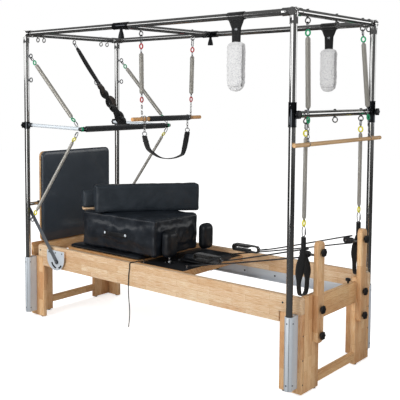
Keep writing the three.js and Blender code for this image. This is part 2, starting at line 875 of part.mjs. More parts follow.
function add_riser(side) {
  const y = side * riser_y;
  const half = riser_w * half_share;
  const profile = rounded_outline(y - half, y + half, riser_bottom_z, riser_top_z, riser_round);
  const shapes = [plate_yz(profile, leg_out_x + gap, riser_out_x)];
  for (const z of riser_knob_zs) {
    shapes.push(...star_knob(riser_out_x, y, z, head));
  }
  shapes.push(rod([riser_out_x - board_thick * half_share, y, sheave_z], [fork_back_x, y, sheave_z],
    fork_stem_r, rod_sides));
  const inner = sheave_half_w + gap;
  const outer = inner + fork_thick;
  for (const way of [front, back]) {
    shapes.push(plate_xz(rounded_outline(fork_front_x, fork_back_x + fork_thick, sheave_z - fork_half_h,
      sheave_z + fork_half_h, fork_half_h - gap), y + Math.min(way * inner, way * outer),
      y + Math.max(way * inner, way * outer)));
  }
  shapes.push(block(fork_back_x - fork_thick, fork_back_x, y - outer, y + outer,
    sheave_z - fork_half_h * half_share, sheave_z + fork_half_h * half_share));
  shapes.push(rod([sheave_x, y - outer, sheave_z], [sheave_x, y + outer, sheave_z], sheave_bore,
    small_sides));
  add("riser_" + side_names.get(side), fused(shapes), wood());
  const half_w = sheave_half_w;
  const profile_points = [
    [sheave_bore + gap, -half_w], [sheave_r, -half_w], [sheave_r - sheave_groove, 0],
    [sheave_r, half_w], [sheave_bore + gap, half_w], [sheave_bore + gap, -half_w],
  ].map(([r, h]) => new THREE.Vector2(r, h));
  const sheave = new THREE.LatheGeometry(profile_points, tube_sides);
  sheave.translate(sheave_x, y, sheave_z);
  add("sheave_" + side_names.get(side), surface(solid(sheave)), black());
}

function add_jump_board() {
  const wood_back = -(leg_out_x - board_thick - gap);
  const wood_face = wood_back + jump_wood_thick;
  const board = plate_yz(rounded_outline(-jump_half_w, jump_half_w, jump_bottom_z, jump_top_z, jump_round),
    wood_back, wood_face);
  const tenon = block(wood_back, wood_face, -jump_tenon_half_w, jump_tenon_half_w,
    jump_tenon_z, jump_bottom_z + jump_round);
  add("jump_board_back", fused([board, tenon]), wood());
  const pad = cushion(wood_face + gap, wood_face + gap + jump_pad_thick, -jump_half_w, jump_half_w,
    jump_bottom_z, jump_top_z, jump_pad_thick * half_share - gap, 0, [0, 2, 2]);
  add("jump_board_pad", pad, leather());
}

// Footbar and its side plates
function add_footbar_plate(side) {
  const y_rail = side * (rail_out_y + gap);
  const y_spacer = side * (rail_out_y + spacer_thick);
  const y_plate = side * (rail_out_y + spacer_thick + plate_thick);
  const mid_x = -(plate_x0 + plate_x1) * half_share;
  const r = (plate_x1 - plate_x0) * half_share;
  const profile = new THREE.Shape();
  profile.moveTo(mid_x - r, plate_top_z);
  profile.lineTo(mid_x - r, plate_bottom_z + r);
  profile.absarc(mid_x, plate_bottom_z + r, r, Math.PI, Math.PI / half_share);
  profile.lineTo(mid_x + r, plate_top_z);
  const body = [
    plate_xz(profile, Math.min(y_spacer, y_plate), Math.max(y_spacer, y_plate)),
    block(mid_x - r, mid_x + r, Math.min(y_rail, y_spacer + side * plate_thick * half_share),
      Math.max(y_rail, y_spacer + side * plate_thick * half_share), rail_bottom_z + r, plate_top_z),
    rod([-footbar_pivot_x, y_rail, footbar_pivot_z],
      [-footbar_pivot_x, y_plate + side * (footbar_flat_thick + footbar_boss_out), footbar_pivot_z],
      footbar_pin_r, rod_sides),
  ];
  add("footbar_plate_" + side_names.get(side), fused(body), silver());
}

function add_footbar() {
  const shapes = [];
  const holes = [];
  const y_near = rail_out_y + spacer_thick + plate_thick + gap;
  const y_far = y_near + footbar_flat_thick;
  const pivot = [-footbar_pivot_x, footbar_pivot_z];
  const top = [-footbar_top_x, footbar_top_z];
  for (const side of [front, back]) {
    const y0 = Math.min(side * y_near, side * y_far);
    const y1 = Math.max(side * y_near, side * y_far);
    shapes.push(plate_xz(band_outline([pivot, top], footbar_flat_w), y0, y1));
    shapes.push(rod([pivot[0], y0, pivot[1]], [pivot[0], y1, pivot[1]], footbar_boss_r, rod_sides));
    shapes.push(rod([top[0], y0, top[1]], [top[0], y1, top[1]], footbar_boss_r, rod_sides));
    holes.push(rod([pivot[0], y0 - lap, pivot[1]], [pivot[0], y1 + lap, pivot[1]],
      running_r(footbar_pin_r, rod_sides), rod_sides));
  }
  shapes.push(rod([top[0], -y_near - lap, top[1]], [top[0], y_near + lap, top[1]], footbar_tube_r,
    tube_sides));
  shapes.push(rod([top[0], -footbar_foam_half, top[1]], [top[0], footbar_foam_half, top[1]],
    footbar_foam_r, tube_sides));
  add("footbar", carved(fused(shapes), holes), chrome());
}

// Carriage
function add_deck() {
  const deck = plate_xz(rounded_outline(-deck_foot_x, deck_head_x, deck_bottom_z, deck_top_z, deck_round),
    -deck_half_w, deck_half_w);
  const shapes = [deck];
  const axle_z = track_ledge_z + wheel_r + gap;
  for (const x of axle_xs) {
    for (const side of [front, back]) {
      const y = side * hanger_y;
      shapes.push(block(x - hanger_half_x, x + hanger_half_x, y - hanger_half_w, y + hanger_half_w,
        axle_z - hanger_drop, deck_bottom_z + lap));
    }
  }
  const bar_x = -spring_bar_x;
  shapes.push(rod([bar_x, -spring_bar_half, spring_bar_z], [bar_x, spring_bar_half, spring_bar_z],
    spring_bar_r, small_sides));
  for (const side of [front, back]) {
    const y = side * (spring_bar_half - hanger_half_w);
    shapes.push(block(bar_x - hanger_half_x, bar_x + hanger_half_x, y - hanger_half_w, y + hanger_half_w,
      spring_bar_z - hanger_drop, deck_bottom_z + lap));
  }
  for (const y of under_spring_ys) {
    shapes.push(rod([bar_x, y, spring_bar_z], [-under_spring_end_x, y, spring_bar_z], under_spring_r,
      small_sides));
  }
  shapes.push(block(-under_spring_end_x + gap, -under_spring_end_x + hanger_half_x, -spring_bar_half,
    spring_bar_half, spring_bar_z - hanger_drop, deck_bottom_z + lap));
  for (const side of [front, back]) {
    shapes.push(rod([cleat_x, side * cleat_y, deck_top_z - lap],
      [cleat_x, side * cleat_y, deck_top_z + cleat_h],
      cleat_r, rod_sides));
  }
  shapes.push(rod([tail_cleat_x, -tail_cleat_y, deck_top_z - lap],
    [tail_cleat_x, -tail_cleat_y, deck_top_z + cleat_h],
    cleat_r, rod_sides));
  const ear_x = headrest_x0 - headrest_hinge_r;
  for (const side of [front, back]) {
    const y0 = side * (headrest_half_w + gap);
    const y1 = side * (headrest_half_w - gap + hanger_half_w);
    shapes.push(block(ear_x - hanger_half_w, ear_x + hanger_half_w, Math.min(y0, y1), Math.max(y0, y1),
      deck_top_z - lap, headrest_hinge_z + headrest_ear_h));
  }
  const holes = axle_xs.map((x) => rod([x, -leg_in_y, axle_z], [x, leg_in_y, axle_z],
    running_r(axle_r, rod_sides), rod_sides));
  holes.push(rod([ear_x, -leg_in_y, headrest_hinge_z + headrest_ear_h * half_share],
    [ear_x, leg_in_y, headrest_hinge_z + headrest_ear_h * half_share],
    running_r(headrest_hinge_r * half_share, rod_sides), rod_sides));
  add("carriage_deck", carved(fused(shapes), holes), wood());
}

function add_wheel_pair(name, x) {
  const axle_z = track_ledge_z + wheel_r + gap;
  const half = wheel_w * half_share;
  const shapes = [rod([x, -wheel_y, axle_z], [x, wheel_y, axle_z], axle_r, rod_sides)];
  for (const side of [front, back]) {
    const y = side * wheel_y;
    shapes.push(rod([x, y - half, axle_z], [x, y + half, axle_z], wheel_r, tube_sides));
  }
  add(name, fused(shapes), black());
}

function add_carriage_top() {
  add("carriage_pad", cushion(-pad_foot_x, -pad_head_x, -pad_half_w, pad_half_w, deck_top_z + gap, pad_top_z,
    jump_pad_thick * half_share, 0, [2, 2, 0]), leather());
  for (const side of [front, back]) {
    const y0 = Math.min(side * shoulder_y0, side * shoulder_y1);
    const y1 = Math.max(side * shoulder_y0, side * shoulder_y1);
    const mid_x = (shoulder_x0 + shoulder_x1) * half_share;
    const mid_y = (y0 + y1) * half_share;
    const rest = cushion(shoulder_x0, shoulder_x1, y0, y1, shoulder_z0, shoulder_z1, shoulder_edge, 0, [0,
      1, 1]);
    const stem = rod([mid_x, mid_y, deck_top_z + gap], [mid_x, mid_y, shoulder_z0 + shoulder_edge],
      shoulder_stem_r, rod_sides);
    const foot_plate = block(mid_x - shoulder_plate_half, mid_x + shoulder_plate_half,
      mid_y - shoulder_plate_half, mid_y + shoulder_plate_half, deck_top_z + gap,
        deck_top_z + shoulder_plate_h);
    add("shoulder_rest_" + side_names.get(side), fused([rest, stem, foot_plate]), leather());
  }
  const ear_x = headrest_x0 - headrest_hinge_r;
  const pin_z = headrest_hinge_z + headrest_ear_h * half_share;
  const pin_y = headrest_half_w + hanger_half_w;
  const pin = rod([ear_x, -pin_y, pin_z], [ear_x, pin_y, pin_z], headrest_hinge_r * half_share, rod_sides);
  const leaf = block(ear_x, headrest_x1 - shoulder_edge, -headrest_half_w + gap, headrest_half_w - gap,
    pin_z - headrest_hinge_r * half_share, headrest_z0 + shoulder_plate_h);
  const pillow = cushion(headrest_x0, headrest_x1, -headrest_half_w, headrest_half_w, headrest_z0,
    headrest_z1,
    jump_pad_thick * half_share, 0, [1, 1, 0]);
  add("headrest", fused([pillow, leaf, pin]), leather());
}

function add_boxes() {
  const box = cushion(box_x0, box_x1, box_y0, box_y1, pad_top_z + gap, box_top_z, box_edge, 0, [2, 2, 0]);
  const strap_z0 = handle_z - handle_half_h;
  const strap_z1 = handle_z + handle_half_h;
  const outer_y = box_y0 - handle_out;
  const shapes = [box, block(handle_x0, handle_x1, outer_y, outer_y + handle_thick, strap_z0, strap_z1)];
  for (const x of [handle_x0, handle_x1 - handle_stud]) {
    shapes.push(block(x, x + handle_stud, outer_y + handle_thick * half_share, box_y0 + lap, strap_z0,
      strap_z1));
  }
  const small_base = block(0, small_length, 0, small_depth, box_top_z - lap, box_top_z + small_base_h);
  const small_pad = cushion(0, small_length, 0, small_depth, box_top_z + small_base_h - lap, small_top_z,
    small_edge, 0, [1, 0, 1]);
  for (const shape of [small_base, small_pad]) {
    shape.rotateZ(THREE.MathUtils.degToRad(block_turn));
    shape.translate(small_corner_x, small_corner_y, 0);
    shapes.push(shape);
  }
  add("sitting_box", fused(shapes), leather());
  const long_block = cushion(0, block_length, 0, block_depth, box_top_z + gap, block_top_z, block_edge, 0,
    [2, 0, 0]);
  long_block.rotateZ(THREE.MathUtils.degToRad(block_turn));
  long_block.translate(block_corner_x, block_corner_y, 0);
  add("long_block", long_block, leather());
}

// Ropes with their hand loops
function add_rope(side) {
  const y_sheave = side * riser_y;
  const y_hook = side * rope_hook_y;
  const wrap_r = sheave_r - sheave_groove + rope_r + gap + rope_seat;
  const points = [new THREE.Vector3(rope_hook_x, y_hook, rope_hook_z)];
  for (let i = 0; i <= rope_turn_steps; i += 1) {
    const angle = Math.PI * (half_share - i / rope_turn_steps);
    points.push(new THREE.Vector3(
      sheave_x + wrap_r * Math.cos(angle), y_sheave, sheave_z + wrap_r * Math.sin(angle)));
  }
  points.push(new THREE.Vector3(cleat_x + cleat_r + gap + lap, side * cleat_y,
    deck_top_z + cleat_h - rope_r));
  add("rope_" + side_names.get(side), tube_on(points, rope_r, rope_sides), rope_cloth());
}

function add_hand_loop(side, name, colour) {
  const y = side * rope_hook_y;
  const near = rope_hook_x - gap - rope_lean;
  const round = (hand_loop_z1 - hand_loop_z0) * half_share - gap;
  const outer = rounded_outline(hand_loop_foot_x, near, hand_loop_z0, hand_loop_z1, round);
  outer.holes.push(rounded_outline(hand_loop_foot_x + strap_thick, near - strap_thick,
    hand_loop_z0 + strap_thick, hand_loop_z1 - strap_thick, round - strap_thick));
  const half = hand_loop_w * half_share;
  const loop = plate_xz(outer, y - half, y + half);
  add(name, surface(solid(loop)), colour);
}

function add_tail() {
  const centres = tail_points.map((point) => new THREE.Vector3(...point));
  note_self_gap(centres, rope_r, 1);
  add("rope_tail", tube_on(centres, rope_r, rope_sides), rope_cloth());
}

// Push-through bar
function add_push_bar() {
  const shapes = [rod([push_bar_x, -push_eye_y, push_bar_z], [push_bar_x, push_eye_y, push_bar_z],
    push_tube_r, tube_sides)];
  shapes.push(rod([push_bar_x, -push_foam_half, push_bar_z], [push_bar_x, push_foam_half, push_bar_z],
    push_foam_r, tube_sides));
  const holes = [];
  for (const side of [front, back]) {
    const y = side * push_arm_y;
    shapes.push(rod([-post_x, y, push_z], [push_bar_x, y, push_bar_z], push_tube_r, tube_sides));
    const half = pivot_collar_w * half_share + gap;
    shapes.push(rod([-post_x, y - half, push_z], [-post_x, y + half, push_z], pivot_collar_r, tube_sides));
    holes.push(rod([-post_x, y - push_tube_r - lap, push_z], [-post_x, y + push_tube_r + lap, push_z],
      running_r(pivot_pin_r, rod_sides), rod_sides));
    shapes.push(rod([push_bar_x, side * push_eye_y, push_bar_z],
      [push_bar_x, side * (push_eye_y + lap), push_bar_z],
      push_tube_r + lap, tube_sides));
  }
  add("push_bar", carved(fused(shapes), holes), chrome());
}

function spring_parts(upper_links, lower_links) {
  return [...upper_links, { kind: "spring" }, ...lower_links];
}

const hook_link = { kind: "link", length: link_len, half_w: link_half_w };
const round_ring = { kind: "link", length: ring_len, half_w: ring_half_w };

function add_push_springs(side) {
  const name = side_names.get(side);
  const y = side * post_y;
  const upper_z = post_eye_upper_z - eye_r + eye_wire + link_wire + gap;
  const lower_z = post_eye_lower_z + eye_r - eye_wire - link_wire - gap;
  const bar_reach = push_tube_r + lap + link_wire + gap + lap;
  const parts = spring_parts([hook_link, round_ring], [round_ring]);
  add("push_spring_upper_" + name, fused(hung_parts([post_eye_x, y, upper_z],
    [push_bar_x - bar_reach, y, push_bar_z + bar_reach], parts, [])), spring_steel());
  add("push_spring_lower_" + name, fused(hung_parts([post_eye_x, y, lower_z],
    [push_bar_x - bar_reach, y, push_bar_z - bar_reach], parts, [])), spring_steel());
}

function add_safety_strap() {
  const start = [-post_x, 0, eye_hang_z(top_z)];
  const stop = [push_bar_x - push_foam_r - link_wire - lap, 0, push_bar_z + link_wire + lap];
  const line = along(start, stop);
  const half = strap_w * half_share;
  const web = block(-half, half, -strap_thick * half_share, strap_thick * half_share, link_len - lap,
    line.length);
  web.applyMatrix4(line.matrix);
  const hook = hung_parts(start, stop, [hook_link], [{ length: line.length - link_len }]);
  add("safety_strap", fused([web, ...hook]), webbing());
}

// Trapeze
function add_trapeze_crossbar() {
  const shapes = [rod([trapeze_x, -post_y, top_z], [trapeze_x, post_y, top_z], tube_r, tube_sides)];
  const holes = [];
  for (const side of [front, back]) {
    const y = side * post_y;
    shapes.push(rod([trapeze_x - trapeze_sleeve_half, y, top_z], [trapeze_x + trapeze_sleeve_half, y, top_z],
      sleeve_r, tube_sides));
    shapes.push(rod([trapeze_x, y - side * tube_r, top_z], [trapeze_x, y - side * sleeve_reach, top_z],
      side_sleeve_r, tube_sides));
    shapes.push(taper([trapeze_x, y, trapeze_knob_top_z + lap], [trapeze_x, y, trapeze_knob_z],
      star_r * half_share, star_r, tube_sides));
    holes.push(rod([trapeze_x - trapeze_sleeve_half - lap, y, top_z],
      [trapeze_x + trapeze_sleeve_half + lap, y, top_z],
      tube_r + gap, tube_sides));
  }
  for (const y of trapeze_eye_ys) {
    shapes.push(...eye_under(trapeze_x, y, top_z));
  }
  add("trapeze_crossbar", carved(fused(shapes), holes), chrome());
}

function add_trapeze() {
  trapeze_eye_ys.forEach((y, i) => {
    const start = [trapeze_x, y, eye_hang_z(top_z)];
    const stop = [trapeze_x, trapeze_low_ys[i], dowel_z + dowel_r + gap];
    const parts = spring_parts([hook_link, round_ring], [round_ring, { kind: "rod", length: link_len }]);
    add("trapeze_spring_" + side_names.get(i === 0 ? front : back),
      fused(hung_parts(start, stop, parts, [{ length: lap }])), spring_steel());
  });
  const shapes = [
    rod([trapeze_x, dowel_y0, dowel_z], [trapeze_x, dowel_y1, dowel_z], dowel_r, tube_sides),
    rod([trapeze_x, dowel_foam_y0, dowel_z], [trapeze_x, dowel_foam_y1 - sling_w, dowel_z], dowel_foam_r,
      tube_sides),
  ];
  add("trapeze_bar", fused(shapes), wood());
  const half = sling_w * half_share;
  const sling = plate_yz(band_outline(sling_points, sling_thick), trapeze_x - half, trapeze_x + half);
  const loops = [];
  const holes = [];
  for (const [y] of [sling_points[0], sling_points[sling_points.length - 1]]) {
    loops.push(rod([trapeze_x, y - half * half_share, dowel_z], [trapeze_x, y + half * half_share, dowel_z],
      sling_loop_r, tube_sides));
    loops.push(block(trapeze_x - half * half_share, trapeze_x + half * half_share,
      y - sling_thick * half_share,
      y + sling_thick * half_share, sling_points[1][1], dowel_z));
    holes.push(rod([trapeze_x, y - half, dowel_z], [trapeze_x, y + half, dowel_z],
      running_r(dowel_r, tube_sides), tube_sides));
  }
  const ends = block(trapeze_x - sling_w, trapeze_x + sling_w, dowel_y0, dowel_y1, sling_points[1][1] + lap,
    dowel_z + sling_w);
  add("sling", carved(fused([carved(sling, [ends]), ...loops]), holes), webbing());
}

// Crossbar on the head posts with its spring loops
function add_tower_crossbar() {
  const shapes = [rod([post_x, -post_y, tower_z], [post_x, post_y, tower_z], tube_r, tube_sides)];
  const holes = [];
  for (const side of [front, back]) {
    const y = side * post_y;
    shapes.push(rod([post_x, y, tower_z - tower_sleeve_half], [post_x, y, tower_z + tower_sleeve_half],
      sleeve_r, tube_sides));
    shapes.push(rod([post_x, y - side * tube_r, tower_z], [post_x, y - side * sleeve_reach, tower_z],
      side_sleeve_r, tube_sides));
    shapes.push(...star_knob(post_x + sleeve_r, y, tower_z, head));
    holes.push(rod([post_x, y, tower_z - tower_sleeve_half - lap],
      [post_x, y, tower_z + tower_sleeve_half + lap],
      tube_r + gap, tube_sides));
  }
  for (const y of tower_eye_ys) {
    shapes.push(...eye_under(post_x, y, tower_z));
  }
  add("tower_crossbar", carved(fused(shapes), holes), chrome());
}

function add_spring_loop(i) {
  const y = tower_eye_ys[i === 0 ? 0 : 2];
  const low_y = loop_ys[i];
  const start = [post_x, y, eye_hang_z(tower_z)];
  const stop = [post_x, low_y, loop_strap_z];
  const parts = spring_parts([hook_link], [round_ring, hook_link]);
  const shapes = hung_parts(start, stop, parts, [{ length: lap }]);
  const half = strap_thick * half_share;
  const strap_half = loop_strap_w * half_share;
  const neck = block(-strap_half, strap_half, -strap_thick, strap_thick, loop_neck_z - lap,
    loop_strap_z + lap);
  const height = loop_neck_z - loop_bottom_z;
  const right = loop_width_shares.map((share, step) => [
    loop_half_w * share, loop_bottom_z + height * loop_height_shares[step]]);
  const left = right.map(([across, up]) => [-across, up]).reverse();
  const outer = [[0, loop_neck_z + lap], ...right, [0, loop_bottom_z], ...left];
  const inner = outer.map(([across, up]) => {
    const mid = (loop_neck_z + loop_bottom_z) * half_share;
    const far = Math.hypot(across, up - mid);
    return [across - across * strap_thick / far, up - (up - mid) * strap_thick / far];
  });
  const loop = carved(plate_yz(outline(outer), -strap_half, strap_half),
    [plate_yz(outline(inner), -strap_half - lap, strap_half + lap)]);
  for (const shape of [neck, loop]) {
    shape.translate(post_x - half, low_y, 0);
    shapes.push(shape);
  }
  add("spring_loop_" + side_names.get(i === 0 ? front : back), fused(shapes), webbing());
}

function add_roll_down() {
  for (const side of [front, back]) {
    const start = [post_x, side * eye_end_y, eye_hang_z(top_z)];
    const stop = [roll_bar_x, side * roll_low_y, roll_bar_z + roll_bar_r + gap];
    const parts = spring_parts([hook_link, round_ring],
      [{ kind: "rod", length: roll_upper_chain }, round_ring, { kind: "rod", length: roll_lower_chain }]);
    for (const part of parts) {
      part.kind = part.kind === "spring" ? "plain" : part.kind;
    }
    add("roll_spring_" + side_names.get(side), fused(hung_parts(start, stop, parts, [{ length: lap }])),
      spring_steel());
  }
  add("roll_down_bar", rod([roll_bar_x, -roll_bar_half, roll_bar_z], [roll_bar_x, roll_bar_half, roll_bar_z],
    roll_bar_r, tube_sides), wood());
}

function add_fleece_loop(side, x) {
  const y = side * post_y;
  const reach = fleece_half_depth - fleece_bevel;
  const outer = rounded_outline(y - reach, y + reach, fleece_bottom_z + fleece_bevel,
    fleece_top_z - fleece_bevel,
    reach - gap);
  const inset = fleece_thick - fleece_bevel;
  const inner = fleece_half_depth - inset;
  outer.holes.push(rounded_outline(y - inner, y + inner, fleece_bottom_z + inset, fleece_top_z - inset,
    inner - gap));
  const body = new THREE.ExtrudeGeometry(outer, {
    depth: (fleece_half_w - fleece_bevel) / half_share, bevelEnabled: true, bevelSize: fleece_bevel,
    bevelThickness: fleece_bevel, bevelSegments: 1, curveSegments: corner_steps,
  });
  body.applyMatrix4(yz_turn());
  body.translate(x - fleece_half_w + fleece_bevel, 0, 0);
  const strap_half = fleece_strap_w * half_share;
  const wrap_r = tube_r + gap + fleece_strap_thick;
  const wrap = rod([x - fleece_wrap_half, y, top_z], [x + fleece_wrap_half, y, top_z], wrap_r, tube_sides);
  const neck = block(x - strap_half, x + strap_half, y - fleece_strap_thick, y + fleece_strap_thick,
    fleece_top_z - inset, top_z);
  const hole = rod([x - fleece_wrap_half - lap, y, top_z], [x + fleece_wrap_half + lap, y, top_z],
    running_r(tube_r, tube_sides), tube_sides);
  add("fleece_loop_" + side_names.get(side), carved(fused([body, wrap, neck]), [hole]), fleece());
}

for (const side of [front, back]) {
  add_rail(side);
  add_leg(head, side);
  add_leg(foot, side);
  add_post(head, side);
  add_post(foot, side);
  add_long_beam(side);
  add_riser(side);
  add_footbar_plate(side);
  add_rope(side);
  add_push_springs(side);
}
add_end_boards();
add_end_beam(head);
add_end_beam(foot);
add_jump_board();
add_footbar();
add_deck();
add_wheel_pair("wheel_pair_foot", axle_xs[0]);
add_wheel_pair("wheel_pair_head", axle_xs[1]);
add_carriage_top();
add_boxes();
add_hand_loop(front, "hand_loop_front", loop_cloth());
add_hand_loop(back, "hand_loop_back", webbing());
add_tail();
add_push_bar();
add_safety_strap();
add_trapeze_crossbar();
add_trapeze();
add_tower_crossbar();
add_spring_loop(0);
add_spring_loop(1);
add_roll_down();
add_fleece_loop(front, fleece_xs[0]);
add_fleece_loop(back, fleece_xs[1]);

console.log("least gap of a spring or rope tail to itself in mm:", least_self_gap);

export default group;
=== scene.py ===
import math

import bmesh
import bpy
import numpy as np
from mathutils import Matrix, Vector, noise
from mathutils.bvhtree import BVHTree


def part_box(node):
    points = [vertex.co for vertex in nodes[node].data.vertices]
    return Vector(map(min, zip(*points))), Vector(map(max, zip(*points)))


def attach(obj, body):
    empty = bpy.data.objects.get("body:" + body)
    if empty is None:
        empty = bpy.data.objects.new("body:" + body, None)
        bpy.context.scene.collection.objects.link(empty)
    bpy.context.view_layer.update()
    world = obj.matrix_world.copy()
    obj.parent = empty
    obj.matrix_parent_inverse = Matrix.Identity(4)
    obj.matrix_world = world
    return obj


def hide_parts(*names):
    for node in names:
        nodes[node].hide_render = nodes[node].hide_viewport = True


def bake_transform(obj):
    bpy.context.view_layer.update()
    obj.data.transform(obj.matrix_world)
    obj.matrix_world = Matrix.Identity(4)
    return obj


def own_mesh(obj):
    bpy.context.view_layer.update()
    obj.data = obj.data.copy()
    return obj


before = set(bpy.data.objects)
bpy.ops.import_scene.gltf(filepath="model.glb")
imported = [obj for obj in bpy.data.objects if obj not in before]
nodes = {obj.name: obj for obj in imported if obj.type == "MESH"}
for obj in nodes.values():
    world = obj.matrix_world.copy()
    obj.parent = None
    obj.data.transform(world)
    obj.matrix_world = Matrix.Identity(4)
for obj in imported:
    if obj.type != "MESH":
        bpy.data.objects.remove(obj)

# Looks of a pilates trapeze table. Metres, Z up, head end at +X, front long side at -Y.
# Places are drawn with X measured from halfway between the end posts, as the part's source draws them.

# The fleece's tufts are the same each run
tuft_seed = 7
noise.seed_set(tuft_seed)

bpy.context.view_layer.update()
beam_low, beam_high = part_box("beam_front")
centre_x = -(beam_low.x + beam_high.x) / 2

front, back = -1, 1
foot, head = -1, 1
side_names = {front: "front", back: "back"}
end_names = {foot: "foot", head: "head"}

# Tube frame
tube_r = 0.019
sleeve_r = 0.023
side_sleeve_r = 0.022
post_x = 1.121
post_y = 0.485
top_z = 2.130
sleeve_reach = 0.068
tube_seat = 0.032
socket_r = 0.025
socket_low = 0.041
socket_high = 0.460
eye_r = 0.015
eye_wire = 0.0038
eye_drop = 0.020
eye_end_y = 0.336
screw_seat = 0.0225
side_screw_seat = 0.0215
neck_out_y = 0.466
neck_in_y = 0.417
neck_screw_y = 0.440
cross_half = 0.4655
hang_z = 2.083
head_eye_ys = [-eye_end_y, 0, eye_end_y, 0.419]
foot_eye_ys = [-0.372, -0.313, 0, 0.297, 0.367]

# Wood
gap = 0.0003
board = 0.028
leg_out_x = 1.165
leg_in_x = 1.021
leg_out_y = 0.420
leg_in_y = 0.392
rail_out_y = 0.430
rail_in_y = 0.392
rail_low = 0.400
rail_high = 0.558
rail_step = 0.462
rail_foot_x = 1.070
rail_round = 0.018
riser_y = 0.268
riser_w = 0.075
riser_out_x = 1.195
riser_low = 0.275
riser_high = 0.860
riser_knobs = [0.797, 0.470, 0.320]
end_head_high = 0.534
sheave_x = 1.078
sheave_z = 0.775
footbar_low_x = -0.838
footbar_low_z = 0.458
footbar_top_x = -1.166
footbar_top_z = 0.852

# Carriage
axle_z = 0.4153
axle_xs = {foot: -0.700, head: 0.0}
deck_low = 0.500
deck_high = 0.544
deck_foot_x = -0.838
deck_head_x = 0.255
deck_half_w = 0.338

# Springs and straps
coil_r = 0.013
wire_r = 0.0019
coil_pitch = 0.0040
rope_r = 0.00325
hook_len = 0.042
ring_len = 0.036
push_z = 1.455
push_bar_x = -0.550
push_bar_z = 1.441
push_arm_y = 0.447
post_eye_x = -1.070
post_eye_zs = [1.965, 1.790, 0.750]
eye_grab = 0.0081
bar_grab = 0.0206
trapeze_x = -0.154
dowel_z = 1.517
tower_z = 1.575
roll_bar_x = 1.160
roll_bar_z = 1.410
roll_spring_y = 0.378
loop_y = 0.337


# Camera at the photograph's viewing angle
def make_camera():
    yaw, pitch = -0.7463935, -0.0728953
    focal, centre_u, centre_v, width = 745.4488, 129.829, 148.299, 400
    data = bpy.data.cameras.new("photo_camera")
    data.sensor_fit = "HORIZONTAL"
    data.sensor_width = 36
    data.lens = focal / width * data.sensor_width
    data.shift_x = 0.5 - centre_u / width
    data.shift_y = centre_v / width - 0.5
    data.clip_end = 60
    camera = bpy.data.objects.new("photo_camera", data)
    camera.location = (3.2161217 - centre_x, -4.0459973, 1.6877975)
    ahead = Vector((math.sin(yaw) * math.cos(pitch), math.cos(yaw) * math.cos(pitch), math.sin(pitch)))
    camera.rotation_euler = ahead.to_track_quat("-Z", "Y").to_euler()
    bpy.context.scene.collection.objects.link(camera)
    bpy.context.scene.camera = camera


make_camera()


# Materials
def colour(text):
    parts = [int(text[i:i + 2], 16) / 255 for i in (1, 3, 5)]
    linear = [p / 12.92 if p <= 0.04045 else ((p + 0.055) / 1.055) ** 2.4 for p in parts]
    return (*linear, 1)


